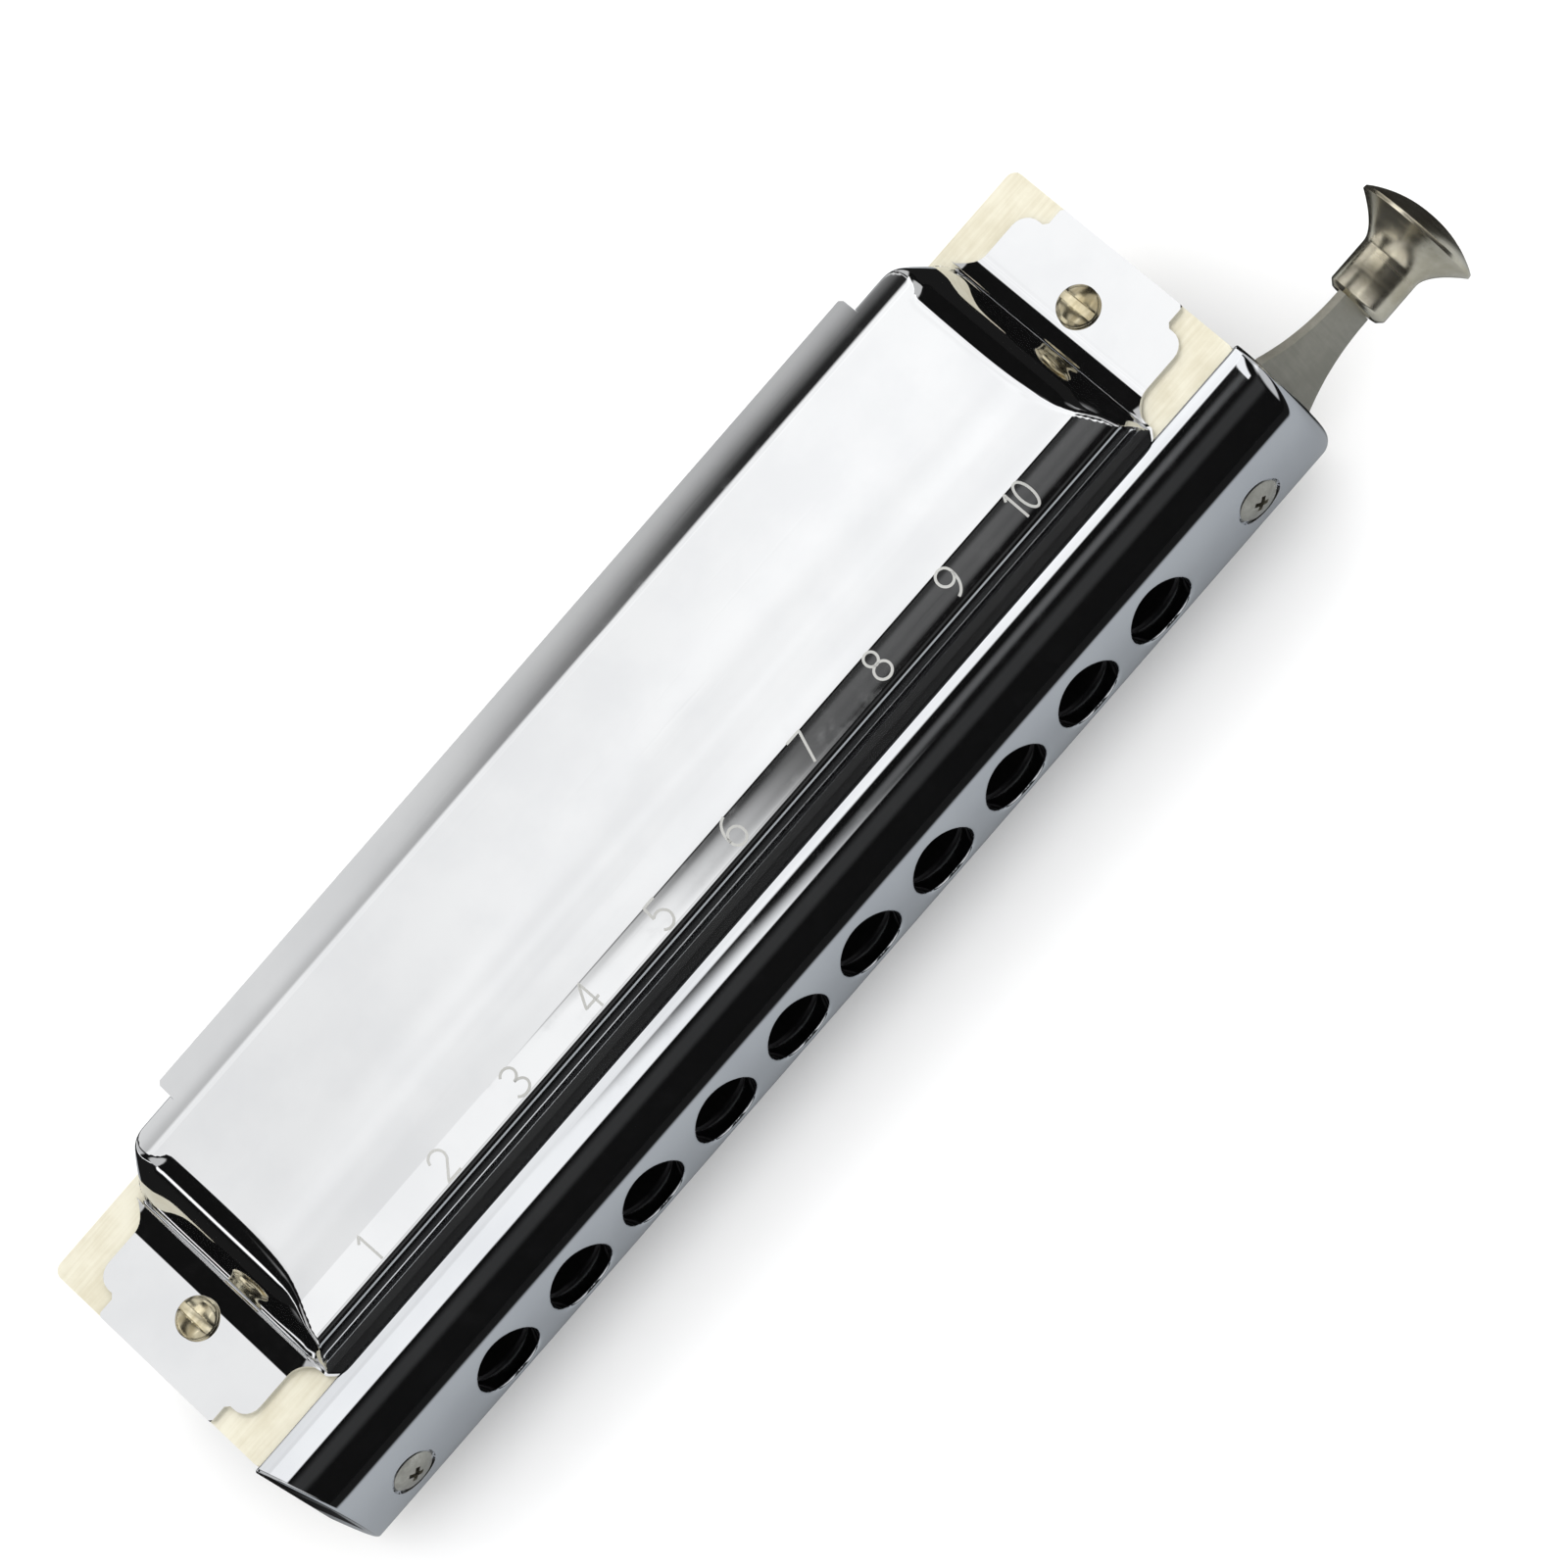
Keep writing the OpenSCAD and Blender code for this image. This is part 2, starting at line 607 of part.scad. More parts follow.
// The slide's outline before its windows: a plate, a neck that narrows in a curve, and a tongue
module slide_outline() {
    steps = 20;
    top = concat([[slide_left_x, slide_h / 2]],
        [for (i = [0:steps]) [neck_x + (neck_tip_x - neck_x) * i / steps, neck_half(i / steps)]],
        [[neck_tip_x, tongue_h / 2], [neck_tip_x + tongue_l, tongue_h / 2]]);
    polygon(concat(top, [for (i = [len(top) - 1:-1:0]) [top[i].x, -top[i].y]]));
}

module slide() color("#a8a69c")
translate([0, 0, z_mid]) along_y(slide_y - slide_t / 2, slide_y + slide_t / 2)
difference() {
    slide_outline();
    // Released, the upper windows stand at the holes; pushed in, the lower ones do
    for (i = [0:hole_count - 1]) {
        window(hole_x(i), window_z);
        window(hole_x(i) + travel, -window_z);
    }
    // The slot at the button end is closed; the one at the far end is a fork
    for (x = [mp_screw_x, mp_screw_x + travel, travel - mp_screw_x]) translate([x, 0]) circle(slot_stop_r);
    translate([mp_screw_x, -slot_stop_r]) square([travel, 2 * slot_stop_r]);
    translate([slide_left_x - cut, -slot_stop_r])
        square([travel - mp_screw_x - slide_left_x + cut, 2 * slot_stop_r]);
    translate([leg_x, leg_z]) circle(leg_hole_r);
}

module slide_bumper(s) color("#2b2b2b") translate([s * mp_screw_x, pocket_y, z_mid]) rotate([-90, 0, 0])
difference() {
    cylinder(r = bumper_r, h = front_y - channel_t - pocket_y);
    translate([0, 0, -cut]) cylinder(d = mp_screw_d, h = mp_d);
}

module slide_bumper_left() slide_bumper(-1);
module slide_bumper_right() slide_bumper(1);

// ---- Button: turned about the slide's axis ----

function flare_r(u) = barrel_d / 2 + (button_d - barrel_d) / 2 * pow(u, 1.7);

module slide_button() color("#b8b4ae") translate([neck_tip_x, slide_y, z_mid]) rotate([0, 90, 0])
difference() {
    steps = 10;
    rim = 0.3;
    end_l = barrel_l + flare_l;
    dome_r = (button_d * button_d / 4 + pow(button_dome_h, 2)) / (2 * button_dome_h);
    dome_a = asin(button_d / 2 / dome_r);
    rotate_extrude() polygon(concat([[0, 0], [barrel_d / 2 - 0.25, 0], [barrel_d / 2, 0.25]],
        [for (i = [0:steps]) [flare_r(i / steps), barrel_l + (flare_l - rim) * i / steps]],
        [for (i = [0:steps]) [dome_r * sin(dome_a * (1 - i / steps)),
            end_l + button_dome_h - dome_r * (1 - cos(dome_a * (1 - i / steps)))]]));
    box([-tongue_h / 2, -slide_t / 2, -cut], [tongue_h / 2, slide_t / 2, tongue_l]);
}

// ---- Slide spring: a coil on a post, a resting leg, and a leg that ends in the slide ----

module slide_spring() color("#9a9a9a") translate([coil_x, coil_y, z_mid]) {
    rotate_extrude() translate([coil_r - ring_wall / 2, coil_z - ring_h / 2]) square([ring_wall, ring_h]);
    translate([coil_r, 0, leg_z]) rotate([90, 0, 0]) cylinder(d = wire_d, h = coil_y - slide_y);
    translate([0, coil_r, coil_z + wire_d / 2]) rotate([0, 90, 0]) cylinder(d = wire_d, h = rest_leg_l);
}

comb();
upper_reed_plate();
lower_reed_plate();
upper_blow_reeds();
upper_draw_reeds();
lower_blow_reeds();
lower_draw_reeds();
upper_reed_rivets();
lower_reed_rivets();
upper_blow_valves();
upper_draw_valves();
lower_blow_valves();
lower_draw_valves();
upper_plate_pins();
lower_plate_pins();
upper_cover();
lower_cover();
cover_screw_left();
cover_screw_right();
cover_nut_left();
cover_nut_right();
mouthpiece();
mouthpiece_screw_left();
mouthpiece_screw_right();
slide_channel();
slide();
slide_button();
slide_bumper_left();
slide_bumper_right();
slide_spring();
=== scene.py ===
"""A ten-hole slide chromatic harmonica: formed covers, plated mouthpiece, turned button."""

from math import atan2, ceil, cos, hypot, pi, radians, sin, sqrt

import bmesh
import bpy
from mathutils import Matrix, Vector


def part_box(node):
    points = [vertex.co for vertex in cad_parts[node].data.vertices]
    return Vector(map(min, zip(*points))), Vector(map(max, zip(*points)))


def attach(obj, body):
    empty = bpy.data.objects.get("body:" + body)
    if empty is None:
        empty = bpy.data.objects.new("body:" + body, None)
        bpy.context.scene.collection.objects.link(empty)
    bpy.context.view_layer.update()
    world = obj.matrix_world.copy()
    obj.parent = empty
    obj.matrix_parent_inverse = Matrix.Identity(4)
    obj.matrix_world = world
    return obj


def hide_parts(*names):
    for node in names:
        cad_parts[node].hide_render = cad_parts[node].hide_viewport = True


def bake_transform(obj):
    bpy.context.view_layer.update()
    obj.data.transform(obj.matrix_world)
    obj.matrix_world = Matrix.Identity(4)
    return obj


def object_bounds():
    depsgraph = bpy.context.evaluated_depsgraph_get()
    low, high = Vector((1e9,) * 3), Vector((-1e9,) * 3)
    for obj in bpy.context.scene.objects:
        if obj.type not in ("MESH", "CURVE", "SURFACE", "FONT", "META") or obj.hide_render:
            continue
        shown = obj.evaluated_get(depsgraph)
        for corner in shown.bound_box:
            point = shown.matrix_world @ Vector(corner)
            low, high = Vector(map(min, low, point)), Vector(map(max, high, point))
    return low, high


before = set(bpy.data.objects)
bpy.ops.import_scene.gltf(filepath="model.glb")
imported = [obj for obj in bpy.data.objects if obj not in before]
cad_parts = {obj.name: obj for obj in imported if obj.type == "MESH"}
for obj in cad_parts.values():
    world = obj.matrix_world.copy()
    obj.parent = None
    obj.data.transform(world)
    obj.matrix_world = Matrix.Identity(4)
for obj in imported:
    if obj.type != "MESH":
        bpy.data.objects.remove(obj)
cad_lo, cad_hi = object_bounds()

# Sizes below are in millimetres
MM = 0.001


def mm_box(node):
    lo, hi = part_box(node)
    return lo / MM, hi / MM


# ---- Driving sizes, taken from the frame ----
cover_lo, cover_hi = mm_box("upper_cover")
plate_hi = mm_box("upper_reed_plate")[1]
low_plate_lo = mm_box("lower_reed_plate")[0]
comb_lo, comb_hi = mm_box("comb")
mp_lo, mp_hi = mm_box("mouthpiece")
slide_lo, slide_hi = mm_box("slide")
button_lo, button_hi = mm_box("slide_button")
bolt_lo, bolt_hi = mm_box("cover_screw_right")
mp_screw_lo, mp_screw_hi = mm_box("mouthpiece_screw_right")

body_half = cover_hi.x
front_y = cover_lo.y
back_y = plate_hi.y
z_mid = (comb_lo.z + comb_hi.z) / 2
plate_z = plate_hi.z
cover_h = cover_hi.z - plate_z
lip_y = cover_hi.y
hole_count = 10
hole_pitch = 9.4
hole_xs = [(i - (hole_count - 1) / 2) * hole_pitch for i in range(hole_count)]
bolt_x = (bolt_lo.x + bolt_hi.x) / 2
bolt_y = (bolt_lo.y + bolt_hi.y) / 2
mp_screw_x = (mp_screw_lo.x + mp_screw_hi.x) / 2


# ---- Mesh helpers ----

def new_object(name, verts, faces):
    """A mesh object from points in millimetres."""
    mesh = bpy.data.meshes.new(name)
    mesh.from_pydata([[c * MM for c in v] for v in verts], [], faces)
    mesh.validate()
    obj = bpy.data.objects.new(name, mesh)
    bpy.context.scene.collection.objects.link(obj)
    return obj


def fix_normals(obj):
    work = bmesh.new()
    work.from_mesh(obj.data)
    bmesh.ops.recalc_face_normals(work, faces=work.faces)
    work.to_mesh(obj.data)
    work.free()


def join(name, objects):
    """One mesh out of several, with each material slot kept."""
    bpy.ops.object.select_all(action="DESELECT")
    for obj in objects:
        obj.select_set(True)
    bpy.context.view_layer.objects.active = objects[0]
    bpy.ops.object.join()
    objects[0].name = name
    return objects[0]


def apply_modifiers(obj):
    """Bakes the modifiers into the mesh."""
    bpy.context.view_layer.update()
    evaluated = obj.evaluated_get(bpy.context.evaluated_depsgraph_get())
    mesh = bpy.data.meshes.new_from_object(evaluated)
    obj.modifiers.clear()
    obj.data = mesh


def cut_with(obj, cutter, operation="DIFFERENCE"):
    """A boolean that is applied at once; the cutter goes."""
    modifier = obj.modifiers.new("cut", "BOOLEAN")
    modifier.operation = operation
    modifier.object = cutter
    modifier.solver = "MANIFOLD"
    apply_modifiers(obj)
    bpy.data.objects.remove(cutter)


def shade(obj, angle=35):
    """Smooth shading, with edges sharper than the angle kept crisp."""
    obj.data.polygons.foreach_set("use_smooth", [True] * len(obj.data.polygons))
    obj.data.set_sharp_from_angle(angle=radians(angle))
    obj.data.update()


def arc(cx, cy, rx, ry, start, end, steps):
    """Points of an elliptic arc, with its angles in degrees."""
    points = []
    for i in range(steps + 1):
        a = radians(start + (end - start) * i / steps)
        points.append((cx + rx * cos(a), cy + ry * sin(a)))
    return points


def prism(name, outline, place, low, high):
    """A closed outline pushed from low to high; place(u, v, w) says where a point goes."""
    n = len(outline)
    verts = [place(u, v, low) for u, v in outline] + [place(u, v, high) for u, v in outline]
    faces = [list(range(n)), list(range(2 * n - 1, n - 1, -1))]
    faces += [[i, i + n, (i + 1) % n + n, (i + 1) % n] for i in range(n)]
    obj = new_object(name, verts, faces)
    fix_normals(obj)
    return obj


def upright(x, y, z):
    return (x, y, z)


def box_cutter(lo, hi):
    outline = [(lo[0], lo[1]), (hi[0], lo[1]), (hi[0], hi[1]), (lo[0], hi[1])]
    return prism("cutter", outline, upright, lo[2], hi[2])


def lathe(name, profile, place, steps=64):
    """Turns (radius, height) points about an axis; place(u, v, w) says where a point goes."""
    verts = []
    faces = []
    rows = len(profile)
    for radius, height in profile:
        for k in range(steps):
            a = 2 * pi * k / steps
            verts.append(place(radius * cos(a), radius * sin(a), height))
    for r in range(rows - 1):
        for k in range(steps):
            nxt = (k + 1) % steps
            faces.append([r * steps + k, r * steps + nxt, (r + 1) * steps + nxt, (r + 1) * steps + k])
    faces.append([k for k in range(steps)])
    faces.append([(rows - 1) * steps + k for k in range(steps)])
    obj = new_object(name, verts, faces)
    fix_normals(obj)
    return obj


def spread(stops):
    """Grid lines through (place, spacing after it) stops."""
    lines = [stops[0][0]]
    for (a, step), (b, _) in zip(stops, stops[1:]):
        count = max(1, ceil((b - a) / step - 1e-6))
        lines += [a + (b - a) * (i + 1) / count for i in range(count)]
    return lines


def smooth_curve(knots, at):
    """A smooth function through (place, value) knots, monotone between them."""
    if at <= knots[0][0]:
        return knots[0][1]
    if at >= knots[-1][0]:
        return knots[-1][1]
    slopes = [(b[1] - a[1]) / (b[0] - a[0]) for a, b in zip(knots, knots[1:])]
    tangents = [slopes[0]]
    for a, b in zip(slopes, slopes[1:]):
        tangents.append(0 if a * b <= 0 else 2 * a * b / (a + b))
    tangents.append(slopes[-1])
    for i, ((x0, y0), (x1, y1)) in enumerate(zip(knots, knots[1:])):
        if at <= x1:
            w = x1 - x0
            t = (at - x0) / w
            return ((1 + 2 * t) * (1 - t) ** 2 * y0 + t * (1 - t) ** 2 * w * tangents[i]
                    + t * t * (3 - 2 * t) * y1 - t * t * (1 - t) * w * tangents[i + 1])


# ---- Covers: one formed sheet each, as a height over the reed plate ----

sheet_t = 0.5
dome_half = body_half - 9.9
dome_front_y = front_y + 1
ear_y = back_y + 0.3
lip_half = dome_half - 8.5
end_w = 5.0
end_w_front = 3.2
end_power = 1.84
corner_power = 3.1
ear_fold = 1.3
flange_half = 10.15
tab_half = 7.55
tab_l = 2.2
flange_corner = 1.7
cove_w = 2.8
cove_rise = 0.8
bead_h = 0.12
corner_spread = 2.2
front_corner_out = 0.25

# The front: a steep wall, a tight bend and the sloping band that carries the numbers
front_knots = [
    (dome_front_y, sheet_t), (dome_front_y + 0.08, 2.4), (dome_front_y + 0.165, 4.4),
    (dome_front_y + 0.2, 4.62), (dome_front_y + 0.36, 4.86), (dome_front_y + 0.8, 5.06),
    (dome_front_y + 1.8, 5.38),
    (dome_front_y + 2.9, 5.7), (dome_front_y + 3.6, 5.86),
]
crown_edge_y, crown_edge_h = front_knots[-1]
crown_top_y = 2.0
back_fold_y = 10.6
back_fold_h = cover_h - 0.12
rear_slope = 0.09
rear_curve = 0.0227


def smooth_min(a, b, k):
    """The smaller of two values, rounded over where they come within k of each other."""
    h = max(k - abs(a - b), 0) / k
    return min(a, b) - h * h * k / 4


def crown_height(y):
    """The crown is nearly flat, and falls a little towards its front and back folds."""
    if y < crown_top_y:
        return cover_h - (cover_h - crown_edge_h) * ((crown_top_y - y) / (crown_top_y - crown_edge_y)) ** 2
    return cover_h - (cover_h - back_fold_h) * ((y - crown_top_y) / (back_fold_y - crown_top_y)) ** 2


def long_section(y):
    """Height of the cover along its middle, from the front wall to the lip."""
    if y < crown_edge_y:
        return smooth_curve(front_knots, y)
    if y < back_fold_y:
        return crown_height(y)
    t = y - back_fold_y
    return back_fold_h - rear_slope * t - rear_curve * t * t


def ease(value, low, high):
    """Rises smoothly from 0 at low to 1 at high."""
    t = min(max((value - low) / (high - low), 0), 1)
    return t * t * (3 - 2 * t)


def wall_height(depth, width, foot):
    """Height of a rounded wall at a depth inside its foot."""
    if depth <= 0:
        return foot
    t = min(depth / width, 1)
    return foot + (cover_h - foot) * (1 - (1 - t) ** end_power)


def end_section(x, y):
    """Height that the end wall and the round back corner allow."""
    depth = dome_half - abs(x)
    crease = sheet_t + cove_rise
    dx = max(0, end_w - depth)
    dy = max(0, y - (ear_y - end_w))
    if abs(x) <= lip_half or dy == 0:
        near_front = ease(-y, 6.5, -dome_front_y)
        foot = crease - (crease - sheet_t) * ease(-y, flange_half + 0.4, -dome_front_y)
        return wall_height(depth, end_w + (end_w_front - end_w) * near_front, foot)
    reach = (dx ** corner_power + dy ** corner_power) ** (1 / corner_power)
    towards_end = cos(atan2(dy, dx)) ** 2 if reach > 0 else 1
    width = ear_fold + (end_w - ear_fold) * towards_end
    return wall_height(end_w - reach, width, crease * towards_end ** 3)


def cove_height(x, y):
    """Height of the sheet between the dome's foot and the flange."""
    q = min(max((dome_half + cove_w - abs(x)) / cove_w, 0), 1)
    bead = bead_h * max(0, 1 - ((1 - q) / 0.1) ** 2) if q > 0.9 else 0
    rise = cove_rise * (1 - ease(abs(y), flange_half + 0.4, -dome_front_y))
    return sheet_t + rise * q ** 2.1 + bead * rise / cove_rise


def cover_height(x, y):
    """Height of the cover's outer face over the reed plate."""
    if abs(x) >= dome_half:
        return cove_height(x, y)
    if y < dome_front_y:
        return sheet_t
    if y >= ear_y and abs(x) > lip_half:
        return sheet_t
    return max(sheet_t, smooth_min(long_section(y), end_section(x, y), 0.3))


def cover_outline():
    """Plan of the cover: T-shaped ends, waist curves into the dome's corners, and the rear lip."""
    edge = body_half
    flange_x = edge - tab_l
    cove_x = dome_half + cove_w
    steps = 8

    def flare(half, q):
        return half + corner_spread * q ** 2.5

    right = [(dome_half - 0.9, front_y), (dome_half - 0.35, front_y + 0.25)]
    right += [(dome_half + front_corner_out, front_y + 1.0)]
    for i in range(steps, -1, -1):
        q = i / steps
        out = front_corner_out if i == steps else 0
        right.append((cove_x - cove_w * q + out, -flare(flange_half, q)))
    right += arc(flange_x - flange_corner, -flange_half + flange_corner,
                 flange_corner, flange_corner, -90, 0, 6)
    right += [(flange_x, -tab_half - 0.4), (flange_x + 0.4, -tab_half), (edge - 0.3, -tab_half)]
    right += [(edge, -tab_half + 0.3)]
    back_turn = [(x, -y) for x, y in reversed(right[3:])]
    right += back_turn
    right += [(dome_half + front_corner_out, ear_y - end_w * 0.7)]
    corner = []
    for i in range(13):
        a = radians(90 * i / 12)
        cx = max(cos(a), 0) ** (2 / corner_power)
        cy = max(sin(a), 0) ** (2 / corner_power)
        corner.append((dome_half - end_w + end_w * cx, ear_y - end_w + end_w * cy))
    right += corner[2:]
    right += [(lip_half + 0.02, ear_y), (lip_half + 0.02, lip_y - 0.5), (lip_half - 0.3, lip_y)]
    left = [(-x, y) for x, y in reversed(right)]
    return right + left


def cover_grid():
    """The cover's outer face as a grid that is fine where the sheet bends."""
    half = spread([(0, 1.4), (lip_half - 1.2, 0.4), (lip_half, 0.02), (lip_half + 0.04, 0.35),
                   (dome_half - end_w - 0.6, 0.3), (dome_half - 2.2, 0.16), (dome_half - 0.7, 0.07),
                   (dome_half - 0.14, 0.02), (dome_half, 0.06), (dome_half + 0.5, 0.14),
                   (dome_half + cove_w, 0.3), (dome_half + cove_w + 0.6, 2.0), (body_half + 0.2, 1)])
    xs = [-x for x in reversed(half[1:])] + half
    ys = spread([(front_y - 0.2, 0.4), (dome_front_y - 0.06, 0.03), (dome_front_y + 0.1, 0.05),
                 (dome_front_y + 1.3, 0.1), (crown_edge_y - 0.6, 0.08), (crown_edge_y + 0.5, 0.3),
                 (-6, 0.9), (6, 0.35), (back_fold_y - 0.9, 0.1), (back_fold_y + 0.7, 0.3),
                 (ear_y - 1.5, 0.08), (ear_y - 0.3, 0.02), (ear_y, 0.2), (lip_y + 0.2, 1)])
    return xs, ys


def make_cover(name, upper):
    xs, ys = cover_grid()
    verts = []
    for y in ys:
        for x in xs:
            verts.append((x, y, cover_height(x, y)))
    columns = len(xs)
    faces = []
    for j in range(len(ys) - 1):
        y = (ys[j] + ys[j + 1]) / 2
        for i in range(columns - 1):
            x = abs(xs[i] + xs[i + 1]) / 2
            slit = lip_half < x < lip_half + 0.04 and y > ear_y - 1.6
            beyond_ear = x > lip_half and y > ear_y
            if slit or beyond_ear:
                continue
            k = j * columns + i
            faces.append([k, k + 1, k + columns + 1, k + columns])
    cover = new_object(name, verts, faces)
    work = bmesh.new()
    work.from_mesh(cover.data)
    loose = [v for v in work.verts if not v.link_faces]
    bmesh.ops.delete(work, geom=loose, context="VERTS")
    work.to_mesh(cover.data)
    work.free()
    thicken = cover.modifiers.new("sheet", "SOLIDIFY")
    thicken.thickness = sheet_t * MM
    thicken.offset = -1
    thicken.use_even_offset = False
    apply_modifiers(cover)
    cut_with(cover, prism("cutter", cover_outline(), upright, -3, cover_h + 3), "INTERSECT")
    for side in (-1, 1):
        hole = arc(side * bolt_x, bolt_y, 1.1, 1.1, 0, 345, 23)
        cut_with(cover, prism("cutter", hole, upright, -1, 2))
    base = plate_z if upper else low_plate_lo.z
    flip = 1 if upper else -1
    for vert in cover.data.vertices:
        vert.co.z = base * MM + flip * vert.co.z
    if not upper:
        cover.data.flip_normals()
    shade(cover, 38)
    return cover


# ---- Numbers over the holes: plain single strokes, frosted into the front band ----

digit_w = 1.75
digit_low_y = dome_front_y + 0.9
digit_high_y = crown_edge_y + 0.05
digit_shift = -0.45
digit_spacing = 0.992
stroke_w = 0.24
stroke_up = 0.025
stroke_down = 0.06

DIGITS = {
    "0": [arc(0.5, 0.5, 0.5, 0.5, 90, 450, 24)],
    "1": [[(0.22, 0.8), (0.5, 1), (0.5, 0)]],
    "2": [arc(0.5, 0.7, 0.46, 0.3, 170, -35, 14) + [(0.05, 0), (0.95, 0)]],
    "3": [arc(0.45, 0.75, 0.42, 0.25, 150, -90, 12) + arc(0.45, 0.25, 0.5, 0.25, 90, -150, 14)],
    "4": [[(0.72, 0), (0.72, 1), (0.05, 0.3), (0.98, 0.3)]],
    "5": [[(0.9, 1), (0.2, 1), (0.14, 0.56)] + arc(0.45, 0.31, 0.48, 0.31, 125, -140, 16)],
    "6": [arc(0.8, 0.35, 0.75, 0.65, 95, 175, 10) + arc(0.5, 0.3, 0.45, 0.3, 180, 540, 22)],
    "7": [[(0.05, 1), (0.95, 1), (0.35, 0)]],
    "8": [arc(0.5, 0.76, 0.36, 0.24, 90, 450, 20), arc(0.5, 0.27, 0.47, 0.27, 90, 450, 22)],
    "9": [arc(0.5, 0.7, 0.45, 0.3, 0, 360, 22) + arc(0.2, 0.65, 0.75, 0.65, 0, -85, 10)],
}


def stroke_mesh(points, verts, faces):
    """Adds one thin raised stroke that follows the cover's face."""
    fine = [points[0]]
    for a, b in zip(points, points[1:]):
        count = max(1, ceil(hypot(b[0] - a[0], b[1] - a[1]) / 0.16))
        fine += [(a[0] + (b[0] - a[0]) * k / count, a[1] + (b[1] - a[1]) * k / count)
                 for k in range(1, count + 1)]
    first = len(verts)
    last = len(fine) - 1
    for i, (x, y) in enumerate(fine):
        ax, ay = fine[max(i - 1, 0)]
        bx, by = fine[min(i + 1, last)]
        run = hypot(bx - ax, by - ay) or 1
        sx, sy = -(by - ay) / run * stroke_w / 2, (bx - ax) / run * stroke_w / 2
        for side, lift in ((-1, -stroke_down), (-1, stroke_up), (1, stroke_up), (1, -stroke_down)):
            px, py = x + side * sx, y + side * sy
            verts.append((px, py, plate_z + cover_height(px, py) + lift))
    for i in range(last):
        k = first + 4 * i
        for c in range(4):
            faces.append([k + c, k + (c + 1) % 4, k + 4 + (c + 1) % 4, k + 4 + c])
    faces.append([first, first + 1, first + 2, first + 3])
    end = first + 4 * last
    faces.append([end + 3, end + 2, end + 1, end])


def make_numbers():
    verts = []
    faces = []
    depth = digit_high_y - digit_low_y
    for number, x in enumerate(hole_xs, start=1):
        text = str(number)
        width = digit_w * (0.72 if len(text) > 1 else 1)
        gap = 0.32
        total = width * len(text) + gap * (len(text) - 1)
        if len(text) > 1:
            total -= width * 0.5
        left = x * digit_spacing + digit_shift - total / 2
        for character in text:
            narrow = len(text) > 1 and character == "1"
            for stroke in DIGITS[character]:
                placed = [(left + (u - (0.25 if narrow else 0)) * width, digit_low_y + v * depth)
                          for u, v in stroke]
                stroke_mesh(placed, verts, faces)
            left += (width * 0.5 if narrow else width) + gap
    obj = new_object("number_marks", verts, faces)
    fix_normals(obj)
    return obj


# ---- Mouthpiece: a bar of one section, tapered at its far end and rounded at the button end ----

mp_depth = mp_hi.y - mp_lo.y
mp_half_h = (mp_hi.z - mp_lo.z) / 2
mp_half = mp_hi.x
mp_squareness = 2.35
mp_corner = (1.7, 2.2)
mp_far_corner = (0.4, 0.45)
mp_far_taper = 2.25
mp_taper_run = 6.0
mp_back_r = 0.3
mp_end_fillet = 0.4
hole_r = 3.5
hole_inner_r = 3.3
hole_step = 1.9
hole_flare = 0.28
pocket_y = -16.1
pocket_half = body_half - 1
pocket_half_h = 6.8


def nose_y(z):
    """Where the mouthpiece's front face is at a height above its middle."""
    u = min(abs(z) / mp_half_h, 1)
    return mp_hi.y - mp_depth * (1 - u ** mp_squareness) ** (1 / mp_squareness)


def mouthpiece_section():
    """Section from the bottom back edge round the front to the top back edge, as (y, z)."""
    points = [(mp_hi.y - mp_back_r * (1 - cos(radians(a))),
               -mp_half_h + mp_back_r * (1 - sin(radians(a)))) for a in (0, 30, 60)]
    steps = 76
    for i in range(steps + 1):
        a = radians(-90 + 180 * i / steps)
        up = abs(sin(a)) ** (2 / mp_squareness) * (1 if a > 0 else -1)
        out = max(cos(a), 0) ** (2 / mp_squareness)
        if i in (0, steps):
            out = mp_back_r / mp_depth
        points.append((mp_hi.y - mp_depth * out, mp_half_h * up))
    points += [(y, -z) for y, z in reversed(points[:3])]
    return points


def roll_depth(t, corner):
    """How far the front face stands back at a distance t from an end."""
    wide, deep = corner
    if t >= wide:
        return 0
    return deep * (1 - sqrt(max(0, 1 - ((wide - t) / wide) ** 2)))


